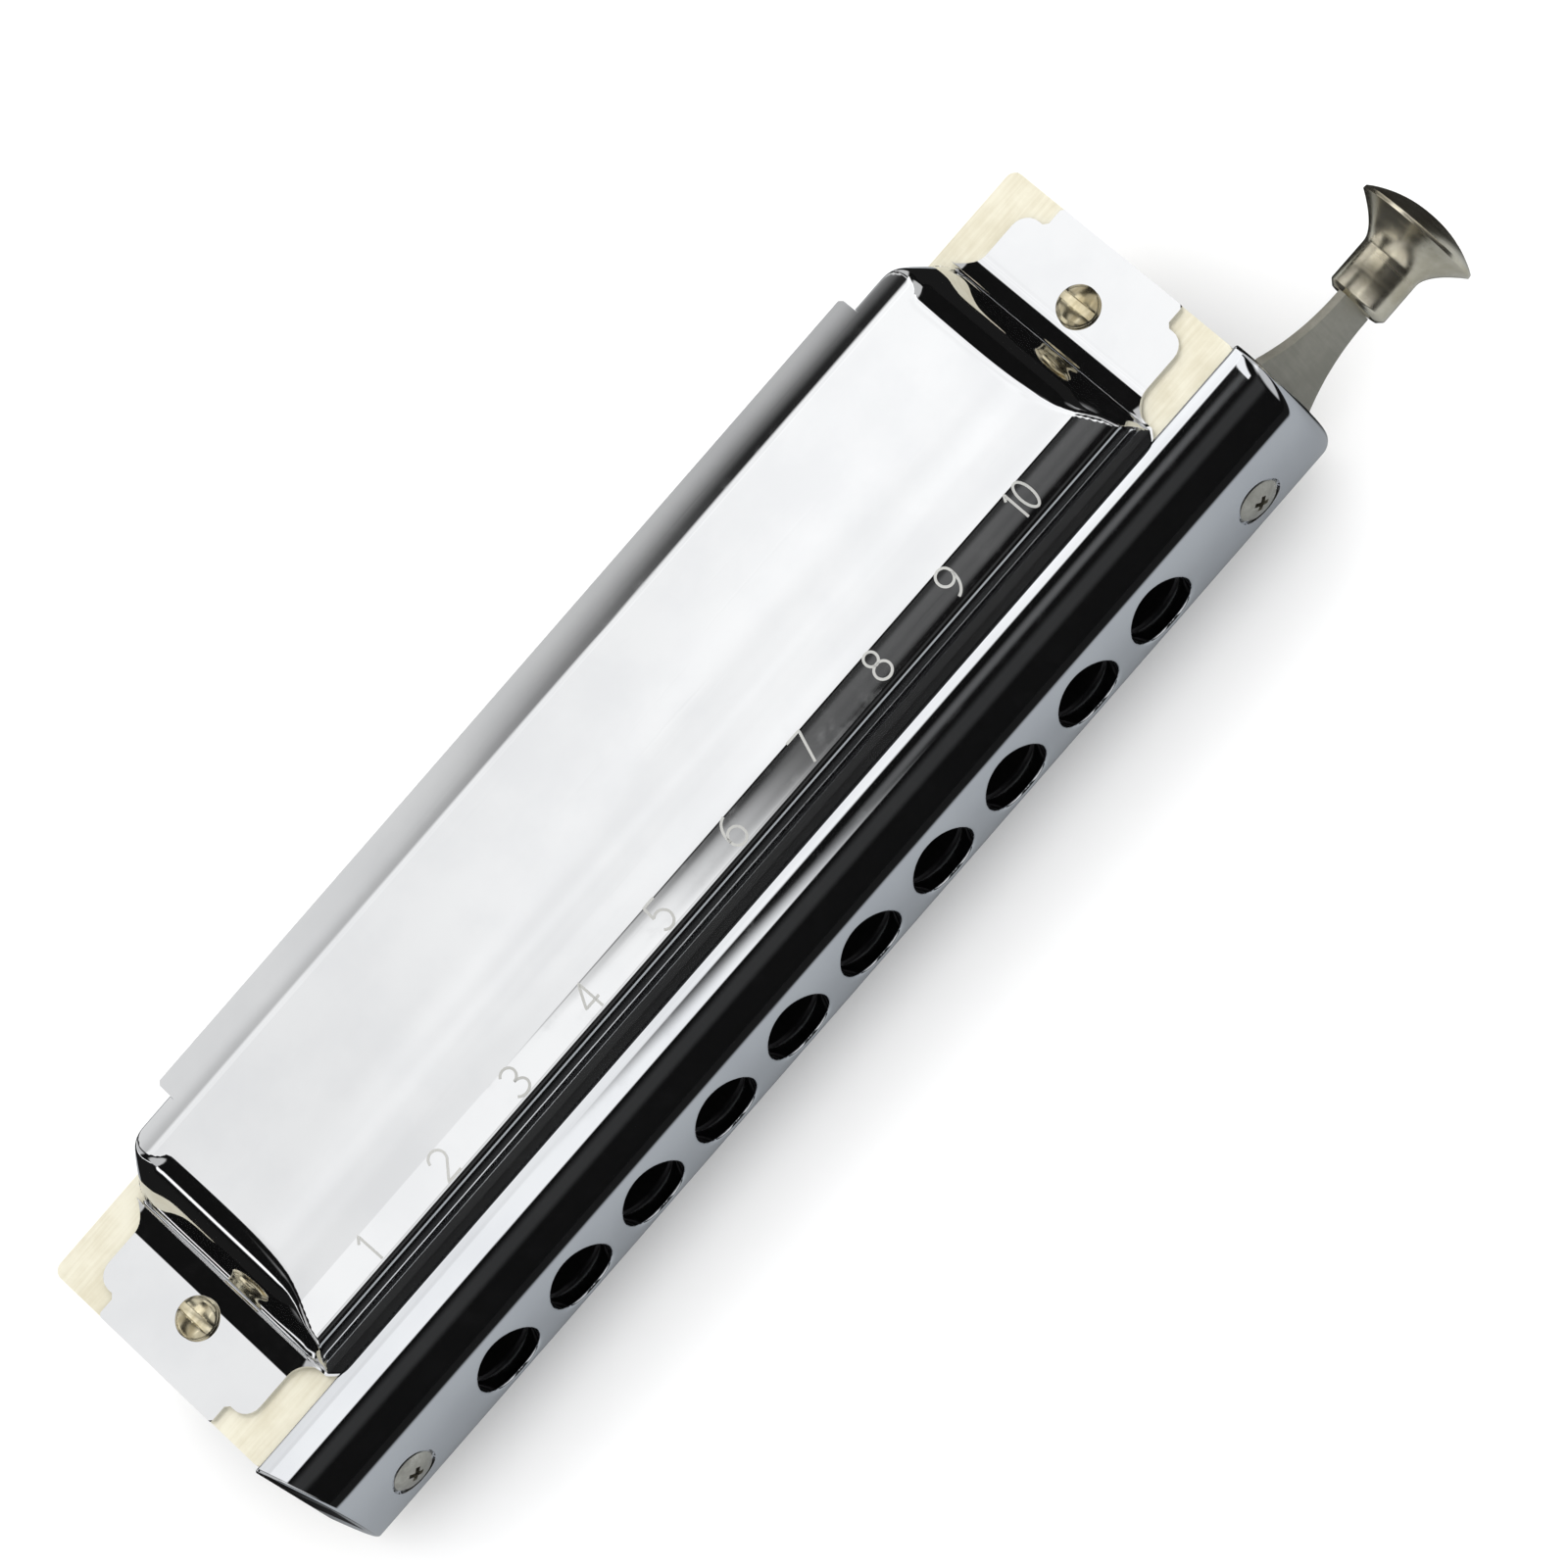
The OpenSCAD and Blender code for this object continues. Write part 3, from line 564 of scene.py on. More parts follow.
def make_mouthpiece():
    section = mouthpiece_section()
    roll_steps = 16
    far_end = [mp_far_corner[0] * (1 - cos(pi / 2 * i / roll_steps)) for i in range(roll_steps + 1)]
    near_end = [mp_corner[0] * (1 - cos(pi / 2 * i / roll_steps)) for i in range(roll_steps + 1)]
    middle = spread([(mp_far_corner[0], 2.0), (2 * mp_half - mp_corner[0], 1)])
    places = far_end + middle[1:-1] + [2 * mp_half - t for t in reversed(near_end)]
    verts = []
    faces = []
    for place in places:
        t = min(place, 2 * mp_half - place)
        inward = roll_depth(t, mp_far_corner if place < mp_half else mp_corner)
        squeeze = (mp_depth - inward) / mp_depth
        pinch = mp_end_fillet - sqrt(max(0, mp_end_fillet ** 2 - max(0, mp_end_fillet - t) ** 2))
        flat = (mp_half_h - pinch) / mp_half_h
        for y, z in section:
            out = (mp_hi.y - y) * squeeze
            tapered = mp_far_taper * out / mp_depth * max(0, 1 - place / mp_taper_run)
            verts.append((place - mp_half + tapered, mp_hi.y - out, z_mid + z * flat))
    n = len(section)
    for i in range(len(places) - 1):
        for k in range(n):
            a = i * n + k
            b = i * n + (k + 1) % n
            faces.append([a, b, b + n, a + n])
    faces.append(list(range(n)))
    faces.append([(len(places) - 1) * n + k for k in range(n)])
    bar = new_object("mouthpiece_shell", verts, faces)
    fix_normals(bar)
    cut_with(bar, box_cutter((-pocket_half, pocket_y, z_mid - pocket_half_h),
                             (pocket_half, front_y + 1, z_mid + pocket_half_h)))
    slot_half = (slide_hi.z - slide_lo.z) / 2 + 0.05
    cut_with(bar, box_cutter((pocket_half - 1, slide_lo.y - 0.05, z_mid - slot_half),
                             (mp_half + 1, slide_hi.y + 0.05, z_mid + slot_half)))
    for x in hole_xs:
        # A stepped bore with a rounded mouth that follows the nose
        profile = [(hole_inner_r, 6), (hole_inner_r, hole_step + 0.12), (hole_r - 0.04, hole_step - 0.02)]
        profile += [(hole_r, hole_step - 0.12), (hole_r, hole_flare)]
        profile += [(hole_r + hole_flare * (1 - cos(radians(a))), hole_flare * (1 - sin(radians(a))))
                    for a in (15, 30, 45, 60, 75, 90)]
        profile += [(hole_r + hole_flare + 0.05, -2)]
        cut_with(bar, lathe("cutter", profile,
                            lambda u, v, w, x=x: (x + u, nose_y(v) + w, z_mid + v), 96))
    for side in (-1, 1):
        # The seat of a countersunk screw
        profile = [(1.1, 8), (1.1, 1.6), (2.36, 0.34), (2.42, 0.05), (2.46, -1)]
        cut_with(bar, lathe("cutter", profile,
                            lambda u, v, w, s=side: (s * mp_screw_x + u, mp_lo.y + w, z_mid + v), 48))
    shade(bar, 32)
    weigh = bar.modifiers.new("weigh", "WEIGHTED_NORMAL")
    weigh.keep_sharp = True
    return bar


# ---- Screws ----

def slotted_head(name, x, top):
    """A cover screw or its nut: a low domed head with a worn straight slot along Y."""
    low, high = mm_box(name)
    radius = (high.x - low.x) / 2
    height = 1.1
    slot_half = 0.4
    seat = high.z - height if top else low.z + height
    flip = 1 if top else -1
    edge_r = 0.28
    profile = [(radius - 0.12, 0)]
    profile += [(radius - edge_r + edge_r * cos(radians(a)), edge_r + edge_r * sin(radians(a)))
                for a in (-50, -20, 10, 35, 60)]
    crown = 0.62
    for i in range(1, 9):
        u = i / 8
        profile.append(((radius - 0.18) * (1 - u) + 0.02 * u,
                        edge_r * 1.86 + (height - edge_r * 1.86) * (1 - (1 - u) ** 2) ** crown))
    head = lathe(name + "_head", profile, lambda u, v, w: (x + u, bolt_y + v, seat + flip * w), 56)
    slot_low = seat + flip * height * 0.42
    cut_with(head, box_cutter((x - slot_half, bolt_y - 4, min(slot_low, slot_low + flip * 2)),
                              (x + slot_half, bolt_y + 4, max(slot_low, slot_low + flip * 2))))
    soften = head.modifiers.new("soften", "BEVEL")
    soften.width = 0.05 * MM
    soften.segments = 2
    soften.limit_method = "ANGLE"
    soften.angle_limit = radians(40)
    apply_modifiers(head)
    shade(head, 40)
    if not top:
        return head
    shank = lathe(name + "_shank", [(1.0, 0), (1.0, seat - low.z + 0.05)],
                  lambda u, v, w: (x + u, bolt_y + v, low.z + w), 32)
    shade(shank, 40)
    return join(name + "_head", [head, shank])


def cross_head(name, x):
    """A raised countersunk screw with a tapered cross recess."""
    low, high = mm_box(name)
    radius = 2.12
    proud = mp_lo.y - low.y
    profile = [(1.0, high.y - mp_lo.y), (1.0, 1.3), (radius, 0.2), (radius, 0.12)]
    for i in range(1, 9):
        u = i / 8
        profile.append((radius * (1 - u) + 0.02 * u, 0.12 - (proud + 0.12) * (1 - (1 - u) ** 2)))
    place = lambda u, v, w: (x + u, mp_lo.y + w, z_mid + v)
    screw = lathe(name + "_body", profile, place, 56)
    for turn in (45, 135):
        c, s = cos(radians(turn)), sin(radians(turn))
        verts = []
        for w, scale in ((-1.5, 1.5), (0.75, 0.45)):
            for u, v in ((-1.15, -0.24), (1.15, -0.24), (1.15, 0.24), (-1.15, 0.24)):
                u *= scale if w > 0 else 1
                verts.append(place(u * c - v * s, u * s + v * c, w))
        faces = [[0, 1, 2, 3], [7, 6, 5, 4]] + [[i, i + 4, (i + 1) % 4 + 4, (i + 1) % 4] for i in range(4)]
        cutter = new_object("cutter", verts, faces)
        fix_normals(cutter)
        cut_with(screw, cutter)
    shade(screw, 35)
    return screw


# ---- Button: turned about the slide's axis ----

def make_button():
    barrel_r = 2.975
    rim_r = (button_hi.z - button_lo.z) / 2
    barrel_l = 4.7
    flare_l = 3.7
    dome_h = 1.7
    axis_y = (button_lo.y + button_hi.y) / 2
    chamfer = 0.5
    profile = [(0.4, 0.0), (barrel_r - chamfer - 0.1, 0.0), (barrel_r - chamfer, 0.02)]
    profile += [(barrel_r - 0.08, chamfer - 0.08), (barrel_r, chamfer + 0.04)]
    for i in range(25):
        u = i / 24
        profile.append((barrel_r + (rim_r - barrel_r) * u ** 1.7, barrel_l + (flare_l - 0.35) * u))
    profile += [(rim_r, barrel_l + flare_l - 0.2), (rim_r - 0.04, barrel_l + flare_l)]
    for i in range(1, 17):
        u = i / 16
        profile.append(((rim_r - 0.12) * (1 - u) + 0.02 * u,
                        barrel_l + flare_l + 0.08 + (dome_h - 0.08) * (1 - (1 - u) ** 2.2)))
    button = lathe("button_turned", profile,
                   lambda u, v, w: (button_lo.x + w, axis_y + u, z_mid + v), 96)
    cut_with(button, box_cutter((button_lo.x - 1, slide_lo.y - 0.04, z_mid - 2.05),
                                (button_lo.x + 3.5, slide_hi.y + 0.04, z_mid + 2.05)))
    shade(button, 38)
    return button


# ---- Slide: a ground plate with softened edges ----

def make_slide():
    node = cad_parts["slide"]
    plate = bpy.data.objects.new("slide_plate", node.data.copy())
    plate.data.materials.clear()
    bpy.context.scene.collection.objects.link(plate)
    work = bmesh.new()
    work.from_mesh(plate.data)
    bmesh.ops.remove_doubles(work, verts=work.verts, dist=0.002 * MM)
    bmesh.ops.dissolve_limit(work, angle_limit=radians(1), verts=work.verts, edges=work.edges)
    work.to_mesh(plate.data)
    work.free()
    soften = plate.modifiers.new("soften", "BEVEL")
    soften.width = 0.07 * MM
    soften.segments = 2
    soften.limit_method = "ANGLE"
    soften.angle_limit = radians(50)
    apply_modifiers(plate)
    shade(plate, 30)
    return plate


# ---- Spring: a wound wire whose long leg reaches towards the slide ----

def make_spring():
    wire_r = 0.3
    coil_r = 1.6
    turns = 2.25
    coil_x = body_half - 11.5
    coil_y = front_y + 7.5
    coil_z = z_mid + 4.3
    slide_y = (slide_lo.y + slide_hi.y) / 2
    path = [(coil_x + coil_r, slide_y + (coil_y - slide_y) * i / 16, coil_z - wire_r) for i in range(17)]
    steps = round(turns * 32)
    for i in range(1, steps + 1):
        a = turns * 2 * pi * i / steps
        path.append((coil_x + coil_r * cos(a), coil_y + coil_r * sin(a),
                     coil_z - wire_r + 2 * wire_r * i / steps))
    last = path[-1]
    path += [(last[0] + 4 * i / 10, last[1], last[2]) for i in range(1, 11)]
    sides = 12
    verts = []
    faces = []
    up = Vector((0, 0, 1))
    for i, point in enumerate(path):
        ahead = Vector(path[min(i + 1, len(path) - 1)]) - Vector(path[max(i - 1, 0)])
        side = ahead.normalized().cross(up).normalized()
        rise = side.cross(ahead.normalized())
        for k in range(sides):
            a = 2 * pi * k / sides
            verts.append(Vector(point) + wire_r * (cos(a) * side + sin(a) * rise))
    for i in range(len(path) - 1):
        for k in range(sides):
            a = i * sides + k
            b = i * sides + (k + 1) % sides
            faces.append([a, b, b + sides, a + sides])
    faces.append(list(range(sides)))
    faces.append([(len(path) - 1) * sides + k for k in range(sides)])
    wire = new_object("spring_wire", verts, faces)
    fix_normals(wire)
    shade(wire, 50)
    return wire, (coil_x, coil_y - coil_r, coil_z), (coil_x, slide_y + 0.2, coil_z)


# ---- Materials ----

class Nodes:
    """Short calls for building one node tree."""

    def __init__(self, tree):
        self.tree = tree

    def add(self, kind, inputs=(), **settings):
        node = self.tree.nodes.new(kind)
        for key, value in settings.items():
            setattr(node, key, value)
        for key, value in dict(inputs).items():
            if isinstance(value, bpy.types.NodeSocket):
                self.tree.links.new(value, node.inputs[key])
            else:
                node.inputs[key].default_value = value
        return node

    def math(self, operation, *values):
        node = self.add("ShaderNodeMath", dict(enumerate(values)), operation=operation)
        return node.outputs[0]

    def ramp(self, value, low, high, to_low=0.0, to_high=1.0, smooth=True):
        kind = "SMOOTHSTEP" if smooth else "LINEAR"
        node = self.add("ShaderNodeMapRange", {"Value": value, "From Min": low, "From Max": high,
                                               "To Min": to_low, "To Max": to_high}, interpolation_type=kind)
        return node.outputs[0]

    def noise(self, scale, detail=3, stretch=(1, 1, 1), roughness=0.5):
        place = self.add("ShaderNodeTexCoord").outputs["Object"]
        mapped = self.add("ShaderNodeMapping", {"Vector": place, "Scale": stretch}).outputs[0]
        return self.add("ShaderNodeTexNoise", {"Vector": mapped, "Scale": scale, "Detail": detail,
                                               "Roughness": roughness}).outputs[0]

    def colours(self, value, low, high, first, second):
        mixed = self.add("ShaderNodeMix", {0: self.ramp(value, low, high), 6: (*first, 1), 7: (*second, 1)},
                         data_type="RGBA")
        return mixed.outputs[2]


def material(name, build, **fixed):
    """A Principled material; fixed sets sockets that are the same all over."""
    made = bpy.data.materials.new(name)
    made.use_nodes = True
    tree = made.node_tree
    tree.nodes.clear()
    nodes = Nodes(tree)
    shader = nodes.add("ShaderNodeBsdfPrincipled")
    for key, value in fixed.items():
        shader.inputs[key.replace("_", " ")].default_value = value
    links = build(nodes)
    for key, value in links.items():
        if key == "Bump":
            height, strength, distance = value
            bump = nodes.add("ShaderNodeBump", {"Height": height, "Strength": strength,
                                                "Distance": distance * MM})
            tree.links.new(bump.outputs[0], shader.inputs["Normal"])
        else:
            tree.links.new(value, shader.inputs[key])
    output = nodes.add("ShaderNodeOutputMaterial")
    tree.links.new(shader.outputs[0], output.inputs[0])
    return made


def plated(tint, dull, rough, wave, scratch, shade_bores=False):
    """Polished plating: faint stains, finger marks, hairline scratches and a slow waviness; on request also
    painted shade deep in the bores.
    """
    def inside(nodes):
        """A mask of the deep part of the bores, where the colour is painted near black as painted shade."""
        place = nodes.add("ShaderNodeTexCoord").outputs["Object"]
        _, y, z = nodes.add("ShaderNodeSeparateXYZ", {"Vector": place}).outputs
        deep = nodes.ramp(y, (mp_lo.y + 1.5) * MM, (mp_lo.y + 2.0) * MM)
        off = nodes.math("ABSOLUTE", nodes.math("SUBTRACT", z, z_mid * MM))
        near = nodes.ramp(off, (hole_r + 0.1) * MM, (hole_r + 0.2) * MM, 1.0, 0.0)
        return nodes.math("MULTIPLY", deep, near)

    def build(nodes):
        stains = nodes.noise(120, 4)
        marks = nodes.noise(420, 5, (1, 1, 1), 0.62)
        hairs = nodes.noise(900, 2, (0.06, 1, 1))
        slow = nodes.noise(55, 1, (0.6, 1, 1))
        colour = nodes.colours(stains, 0.35, 0.7, tint, dull)
        mark = nodes.ramp(marks, 0.5, 0.75)
        roughness = nodes.math("MULTIPLY_ADD", mark, rough * 1.1, rough)
        fine = nodes.math("MULTIPLY", nodes.ramp(hairs, 0.62, 0.75), -scratch)
        height = nodes.math("MULTIPLY_ADD", slow, wave, fine)
        # Painted shade: the deep part of each bore is painted near black and made rougher, standing in for
        # the shade that falls inside it
        if shade_bores:
            bore_shade = inside(nodes)
            colour = nodes.add("ShaderNodeMix", {0: bore_shade, 6: colour, 7: (0.03, 0.029, 0.03, 1)},
                               data_type="RGBA").outputs[2]
            roughness = nodes.math("MULTIPLY_ADD", bore_shade, 0.4, roughness)
        return {"Base Color": colour, "Roughness": roughness, "Bump": (height, 1.0, 1.0)}
    return build


def brushed(light, dark, rough, along, depth, scale=2600):
    """Metal with fine drawn lines and cloudy tarnish."""
    def build(nodes):
        lines = nodes.noise(scale, 2, along)
        clouds = nodes.noise(210, 5, (1, 1, 1), 0.6)
        both = nodes.math("MULTIPLY_ADD", lines, 0.35, nodes.math("MULTIPLY", clouds, 0.75))
        colour = nodes.colours(both, 0.38, 0.72, light, dark)
        roughness = nodes.math("MULTIPLY_ADD", both, 0.3, rough - 0.12)
        return {"Base Color": colour, "Roughness": roughness,
                "Bump": (nodes.math("MULTIPLY", lines, depth), 0.6, 1.0)}
    return build


def grained(light, dark, rough, scale, depth):
    """Plastic, rubber or film with a fine even grain."""
    def build(nodes):
        grain = nodes.noise(scale, 3)
        clouds = nodes.noise(90, 3)
        colour = nodes.colours(clouds, 0.3, 0.7, light, dark)
        roughness = nodes.math("MULTIPLY_ADD", grain, 0.2, rough - 0.1)
        return {"Base Color": colour, "Roughness": roughness,
                "Bump": (nodes.math("MULTIPLY", grain, depth), 0.7, 1.0)}
    return build


def turned(light, dark, rough, depth):
    """Nickel turned on a lathe about X, with rings and a warm uneven tone."""
    def build(nodes):
        rings = nodes.noise(2300, 2, (1, 0.02, 0.02))
        clouds = nodes.noise(260, 5, (1, 1, 1), 0.65)
        colour = nodes.colours(clouds, 0.35, 0.68, light, dark)
        roughness = nodes.math("MULTIPLY_ADD", rings, 0.22, rough - 0.1)
        return {"Base Color": colour, "Roughness": roughness,
                "Bump": (nodes.math("MULTIPLY", rings, depth), 0.6, 1.0)}
    return build


def make_materials():
    metal = {"Metallic": 1.0}
    return {
        "chrome": material("chrome", plated(
            (0.80, 0.806, 0.812), (0.76, 0.767, 0.777), 0.035, 0.05, 0.0006), **metal),
        "mouthpiece_chrome": material("mouthpiece_chrome", plated(
            (0.76, 0.775, 0.795), (0.72, 0.735, 0.76), 0.03, 0.03, 0.0005, shade_bores=True), **metal),
        "numbers": material("numbers", grained(
            (0.50, 0.50, 0.48), (0.40, 0.40, 0.38), 0.5, 6000, 0.01), Metallic=0.3),
        "plate_brass": material("plate_brass", brushed(
            (0.88, 0.845, 0.70), (0.76, 0.71, 0.55), 0.42, (0.05, 1, 1), 0.006), Metallic=0.5),
        "reed_brass": material("reed_brass", brushed(
            (0.84, 0.66, 0.34), (0.66, 0.48, 0.2), 0.32, (1, 0.05, 1), 0.008), **metal),
        "screw_brass": material("screw_brass", brushed(
            (0.90, 0.82, 0.60), (0.56, 0.47, 0.28), 0.16, (0.3, 1, 1), 0.003, 1800), **metal),
        "comb_plastic": material("comb_plastic", grained(
            (0.022, 0.023, 0.026), (0.034, 0.035, 0.038), 0.42, 5200, 0.02)),
        "valve_film": material("valve_film", grained(
            (0.80, 0.77, 0.68), (0.70, 0.66, 0.56), 0.5, 3800, 0.01)),
        "slide_steel": material("slide_steel", brushed(
            (0.56, 0.54, 0.47), (0.48, 0.465, 0.40), 0.55, (1, 1, 0.1), 0.004), **metal),
        "channel_brass": material("channel_brass", brushed(
            (0.78, 0.68, 0.42), (0.60, 0.50, 0.28), 0.38, (0.05, 1, 1), 0.008), **metal),
        "button_nickel": material("button_nickel", turned(
            (0.95, 0.89, 0.73), (0.70, 0.64, 0.48), 0.22, 0.0009), **metal),
        "screw_steel": material("screw_steel", brushed(
            (0.76, 0.74, 0.66), (0.50, 0.48, 0.42), 0.24, (1, 0.3, 1), 0.006, 1800), **metal),
        "bumper_rubber": material("bumper_rubber", grained(
            (0.02, 0.02, 0.02), (0.035, 0.034, 0.033), 0.75, 4200, 0.03)),
        "spring_steel": material("spring_steel", brushed(
            (0.62, 0.62, 0.62), (0.42, 0.42, 0.42), 0.3, (1, 1, 0.2), 0.004), **metal),
    }


# ---- Light ----

def world_light():
    """Plain white for the camera and the soft fill, and a studio of cards for the mirror finish."""
    world = bpy.data.worlds.new("studio")
    world.use_nodes = True
    bpy.context.scene.world = world
    tree = world.node_tree
    tree.nodes.clear()
    nodes = Nodes(tree)
    place = nodes.add("ShaderNodeTexCoord").outputs["Generated"]
    split = nodes.add("ShaderNodeSeparateXYZ", {"Vector": place})
    x, y, z = split.outputs
    # Degrees from the back horizon at 0, over the zenith at 90, to the front horizon at 180
    turn = nodes.math("MULTIPLY", nodes.math("ARCTAN2", z, y), 180 / pi)

    def band(value, low, high, soft):
        rise = nodes.ramp(value, low - soft, low + soft)
        fall = nodes.ramp(value, high - soft, high + soft, 1.0, 0.0)
        return nodes.math("MULTIPLY", rise, fall)

    def card(mask_a, mask_b, level):
        both = nodes.math("MULTIPLY", mask_a, mask_b)
        return nodes.math("MULTIPLY", both, level)

    # The key card over the crown, brighter to the right and faintly uneven
    cloud = nodes.add("ShaderNodeTexNoise", {"Vector": place, "Scale": 13, "Detail": 1}).outputs[0]
    key_level = nodes.math("MULTIPLY", nodes.ramp(x, -0.09, 0.045, 1.0, 1.2),
                           nodes.ramp(cloud, 0.3, 0.7, 0.93, 1.04))
    key = card(band(turn, 50.5, 76, 1.2), band(x, -0.15, 0.4, 0.012), key_level)
    # Its front half, which ends in a slanting edge where the black card starts
    slant = nodes.math("MULTIPLY_ADD", turn, 0.0012, -0.128)
    left_of = nodes.ramp(nodes.math("SUBTRACT", x, slant), -0.016, 0.016, 1.0, 0.0)
    far_right = nodes.math("MULTIPLY", nodes.ramp(x, 0.062, 0.07),
                           nodes.ramp(x, 0.13, 0.16, 1.0, 0.0))
    lit = nodes.math("MAXIMUM", left_of, far_right)
    lit = nodes.math("MULTIPLY", lit, nodes.ramp(x, -0.16, -0.14))
    front_half = card(band(turn, 76, 103, 1.2), lit, 1.12)
    # The back card, light on the left; on the right it only lightens towards the horizon
    to_right = nodes.ramp(x, -0.05, 0.02)
    right_level = nodes.math("MAXIMUM", nodes.ramp(turn, 28, 46, 0.55, 0.015),
                             nodes.math("MULTIPLY", far_right, 0.7))
    left_level = nodes.ramp(turn, 38, 50, 0.84, 0.6)
    level = nodes.add("ShaderNodeMix", {0: to_right, 2: left_level, 3: right_level},
                      data_type="FLOAT").outputs[0]
    back = card(band(turn, 14, 50.5, 1.2), band(x, -0.15, 0.15, 0.02), level)
    # Dim things round the camera, and a thin light edge on the right
    dim = card(band(turn, 112, 134, 6.0), band(x, -0.3, 0.3, 0.1), 0.035)
    streak = card(band(turn, 88, 98, 4.0), band(x, -0.02, 0.06, 0.02), 0.12)
    # Side cards over the ends and the button
    side_cards = card(band(turn, 66, 112, 6.0), nodes.ramp(nodes.math("ABSOLUTE", x), 0.3, 0.42), 0.6)
    # Wide soft cards behind and in front, off to the sides, for the other viewing angles
    aside = nodes.math("ABSOLUTE", x)
    fill_rear = card(nodes.math("MULTIPLY", nodes.ramp(y, 0.58, 0.66), nodes.ramp(aside, 0.2, 0.32)),
                     nodes.ramp(z, -0.05, 0.1), 0.62)
    fill_front = card(nodes.math("MULTIPLY", nodes.ramp(y, -0.25, -0.1, 1.0, 0.0),
                                 nodes.ramp(aside, 0.36, 0.5)), nodes.ramp(z, 0.12, 0.24), 0.62)
    # A narrow strip far to the left
    lean = nodes.math("ARCTAN2", x, z)
    strip = card(band(lean, radians(-84), radians(-78), radians(1.5)), band(y, 0.1, 0.93, 0.06), 1.4)
    total = nodes.math("ADD", key, front_half)
    for part in (back, dim, streak, side_cards, fill_rear, fill_front, strip):
        total = nodes.math("ADD", total, part)
    total = nodes.math("ADD", total, 0.006)

    path = nodes.add("ShaderNodeLightPath")
    seen = nodes.add("ShaderNodeBackground", {"Color": (1, 1, 1, 1), "Strength": 1.25})
    mirrored = nodes.add("ShaderNodeBackground", {"Color": (0.995, 0.997, 1, 1), "Strength": total})
    mix = nodes.add("ShaderNodeMixShader", {0: path.outputs["Is Glossy Ray"], 1: seen.outputs[0],
                                            2: mirrored.outputs[0]})
    output = nodes.add("ShaderNodeOutputWorld")
    tree.links.new(mix.outputs[0], output.inputs[0])


def make_stage():
    """A plain pale floor; in reflections it is a soft grey, dark beside the ends and far in front."""
    reach = 3000
    floor = new_object("floor", [(-reach, -reach, 0), (reach, -reach, 0), (reach, reach, 0),
                                 (-reach, reach, 0)], [[0, 1, 2, 3]])
    floor.location.z = cad_lo.z - 0.02 * MM
    paint = bpy.data.materials.new("floor_paint")
    paint.use_nodes = True
    tree = paint.node_tree
    tree.nodes.clear()
    nodes = Nodes(tree)
    path = nodes.add("ShaderNodeLightPath")
    pale = nodes.add("ShaderNodeBsdfDiffuse", {"Color": (0.9, 0.9, 0.9, 1)})
    place = nodes.add("ShaderNodeTexCoord").outputs["Object"]
    x, y, _ = nodes.add("ShaderNodeSeparateXYZ", {"Vector": place}).outputs
    beside = nodes.ramp(nodes.math("ABSOLUTE", x), body_half * MM, (body_half + 4) * MM)
    behind = nodes.ramp(y, (front_y - 4) * MM, front_y * MM)
    far_in_front = nodes.ramp(y, -0.11, -0.08, 1.0, 0.0)
    shade_of = nodes.math("MAXIMUM", nodes.math("MULTIPLY", beside, behind), far_in_front)
    tone = nodes.add("ShaderNodeMix", {0: shade_of, 6: (0.30, 0.315, 0.33, 1), 7: (0.008, 0.008, 0.008, 1)},
                     data_type="RGBA").outputs[2]
    grey = nodes.add("ShaderNodeBsdfDiffuse", {"Color": tone})
    mix = nodes.add("ShaderNodeMixShader", {0: path.outputs["Is Glossy Ray"], 1: pale.outputs[0],
                                            2: grey.outputs[0]})
    output = nodes.add("ShaderNodeOutputMaterial")
    tree.links.new(mix.outputs[0], output.inputs[0])
    floor.data.materials.append(paint)


def soft_lamp(name, place, size, power):
    """A large area lamp aimed at the harmonica that shapes dull surfaces and makes no mirror spot."""
    data = bpy.data.lights.new(name, "AREA")
    data.shape = "DISK"
    data.size = size
    data.energy = power
    lamp = bpy.data.objects.new(name, data)
    bpy.context.scene.collection.objects.link(lamp)
    lamp.location = place
    lamp.rotation_euler = (-Vector(place)).to_track_quat("-Z", "Y").to_euler()
    lamp.visible_glossy = False


# ---- Camera ----

def make_camera():
    """The photograph's viewing angle: high in front, with the long side rolled across the frame."""
    elevation = radians(62.05)
    azimuth = radians(-0.54)
    roll = radians(-49.42)
    back = Vector((-sin(azimuth) * cos(elevation), -cos(azimuth) * cos(elevation), sin(elevation)))
    level = Vector((cos(azimuth), -sin(azimuth), 0))
    level_up = back.cross(level)
    right = cos(roll) * level + sin(roll) * level_up
    up = -sin(roll) * level + cos(roll) * level_up
    distance = 880.6
    to_right = 7.63
    to_up = 6.66
    place = Vector((0, -3, z_mid)) + to_right * right + to_up * up + distance * back
    data = bpy.data.cameras.new("camera")
    data.sensor_width = 36
    data.lens = 235.1
    data.clip_start = 0.05
    data.clip_end = 20
    camera = bpy.data.objects.new("camera", data)
    bpy.context.scene.collection.objects.link(camera)
    turn = Matrix((right, up, back)).transposed().to_4x4()
    camera.matrix_world = Matrix.Translation(place * MM) @ turn
    bpy.context.scene.camera = camera


# ---- Build ----

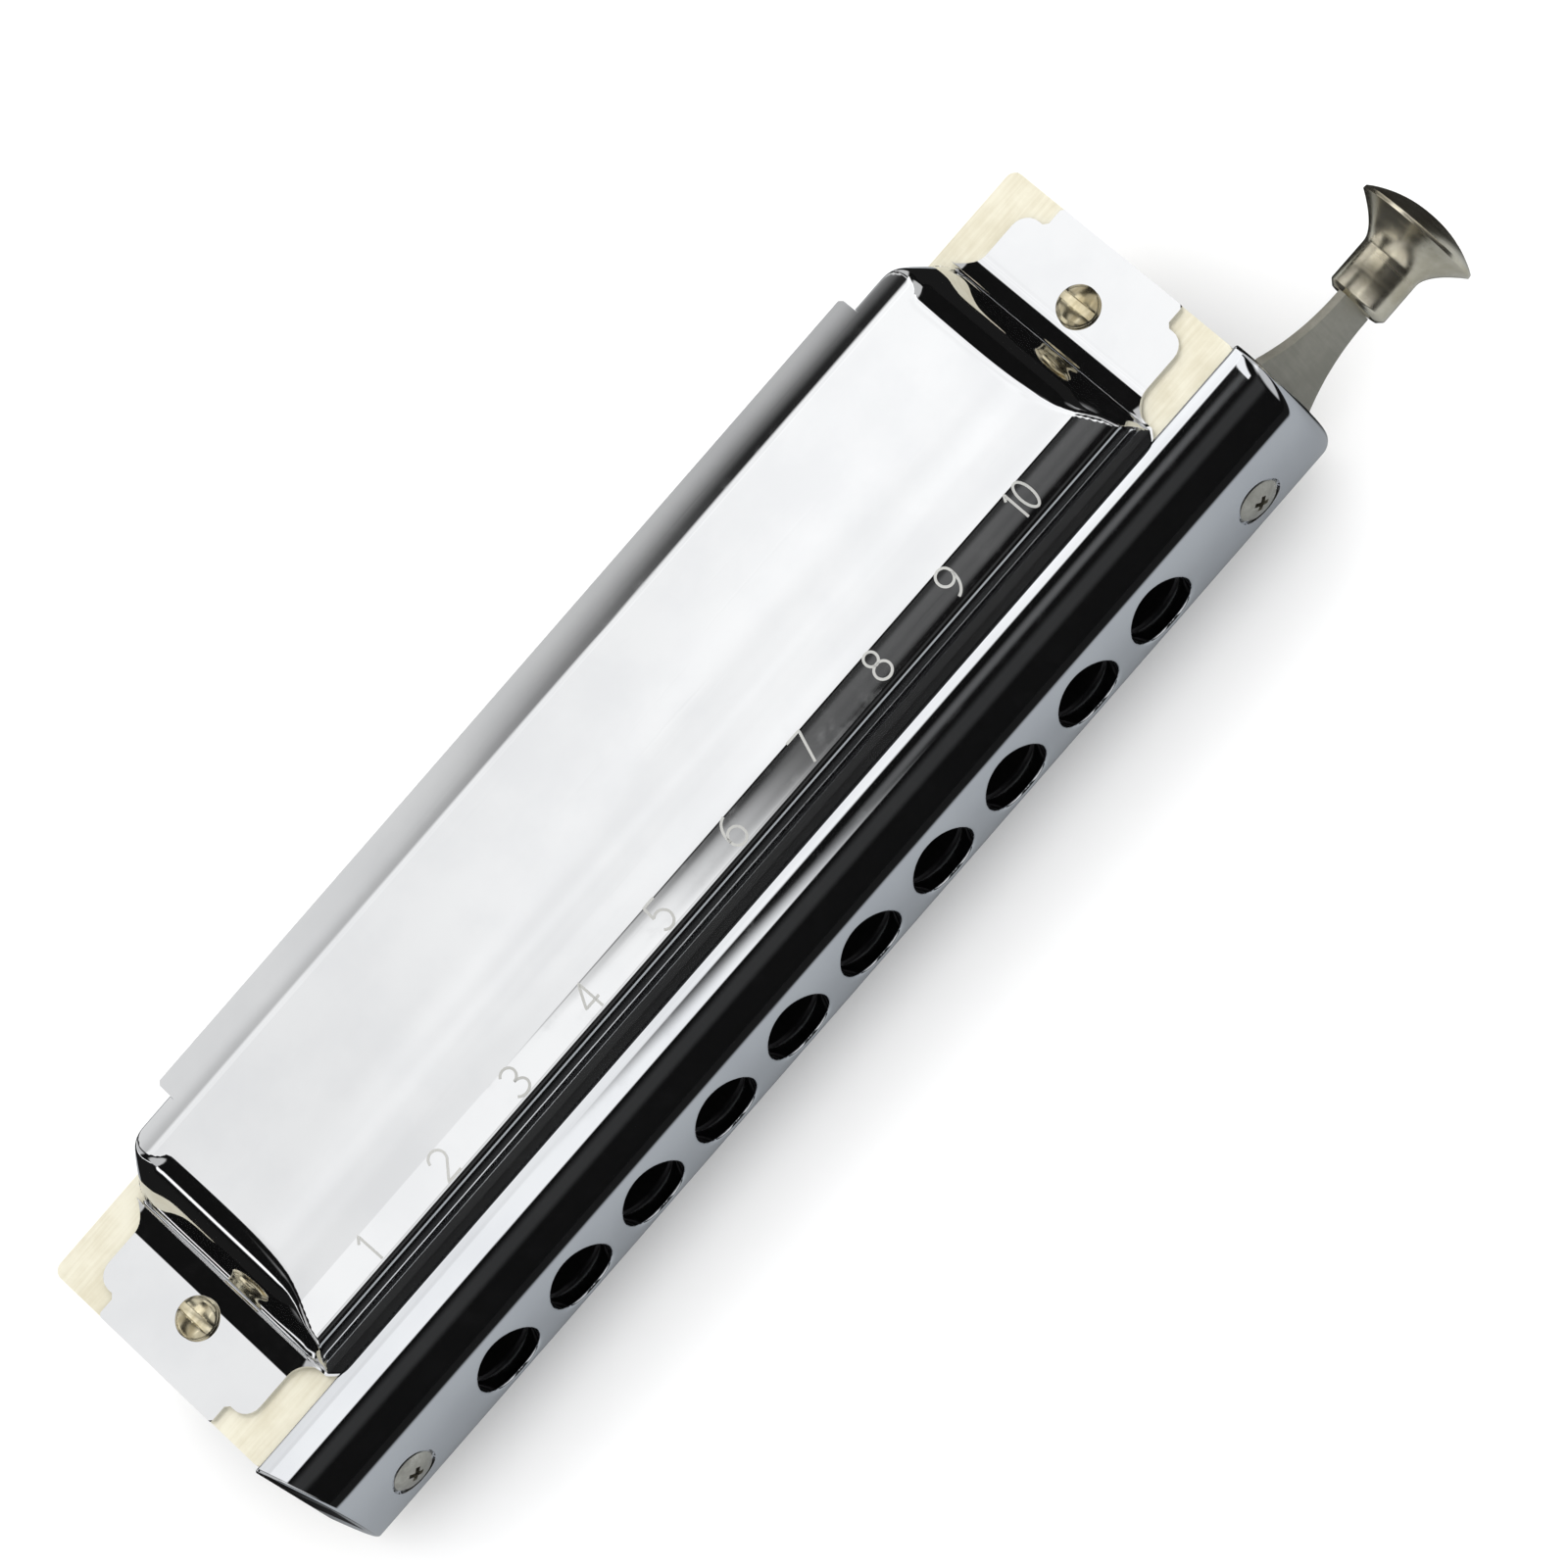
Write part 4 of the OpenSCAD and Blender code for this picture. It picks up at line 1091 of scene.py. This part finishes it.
def dress(obj, materials, slot, body, *replaced, finish=None):
    """Gives a new piece its material, its slot and its body."""
    obj.data.materials.clear()
    obj.data.materials.append(materials[finish or slot])
    if replaced:
        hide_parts(*replaced)
    if body:
        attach(obj, body)
    return obj


def finish_node(name, materials, slot):
    """Gives a carried-over CAD node its procedural material."""
    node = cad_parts[name]
    node.data.materials.clear()
    node.data.materials.append(materials[slot])


def main():
    bpy.context.scene.view_settings.view_transform = "Standard"
    make_camera()
    world_light()
    make_stage()
    soft_lamp("key_lamp", (-0.2, -0.3, 0.7), 0.7, 1.6)
    soft_lamp("fill_lamp", (0.3, 0.4, 0.6), 0.7, 1.2)

    materials = make_materials()
    dress(make_cover("upper_cover_sheet", True), materials, "chrome", "body", "upper_cover")
    dress(make_cover("lower_cover_sheet", False), materials, "chrome", "body", "lower_cover")
    dress(make_numbers(), materials, "chrome", "body", finish="numbers")
    dress(make_mouthpiece(), materials, "mouthpiece_chrome", "body", "mouthpiece")
    for side, x in (("left", -bolt_x), ("right", bolt_x)):
        dress(slotted_head("cover_screw_" + side, x, True), materials, "screw_brass", "body",
              "cover_screw_" + side)
        dress(slotted_head("cover_nut_" + side, x, False), materials, "screw_brass", "body",
              "cover_nut_" + side)
    for side, x in (("left", -mp_screw_x), ("right", mp_screw_x)):
        dress(cross_head("mouthpiece_screw_" + side, x), materials, "screw_steel", "body",
              "mouthpiece_screw_" + side)
    dress(make_slide(), materials, "slide_steel", "slide", "slide")
    dress(make_button(), materials, "button_nickel", "slide", "slide_button")
    wire, start, end = make_spring()
    dress(wire, materials, "spring_steel", None, "slide_spring")
    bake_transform(wire)

    finish_node("comb", materials, "comb_plastic")
    finish_node("slide_channel", materials, "channel_brass")
    for level in ("upper", "lower"):
        finish_node(level + "_reed_plate", materials, "plate_brass")
        finish_node(level + "_reed_rivets", materials, "screw_brass")
        finish_node(level + "_plate_pins", materials, "screw_brass")
        for kind in ("blow", "draw"):
            finish_node(f"{level}_{kind}_reeds", materials, "reed_brass")
            finish_node(f"{level}_{kind}_valves", materials, "valve_film")
    for side in ("left", "right"):
        finish_node("slide_bumper_" + side, materials, "bumper_rubber")


main()
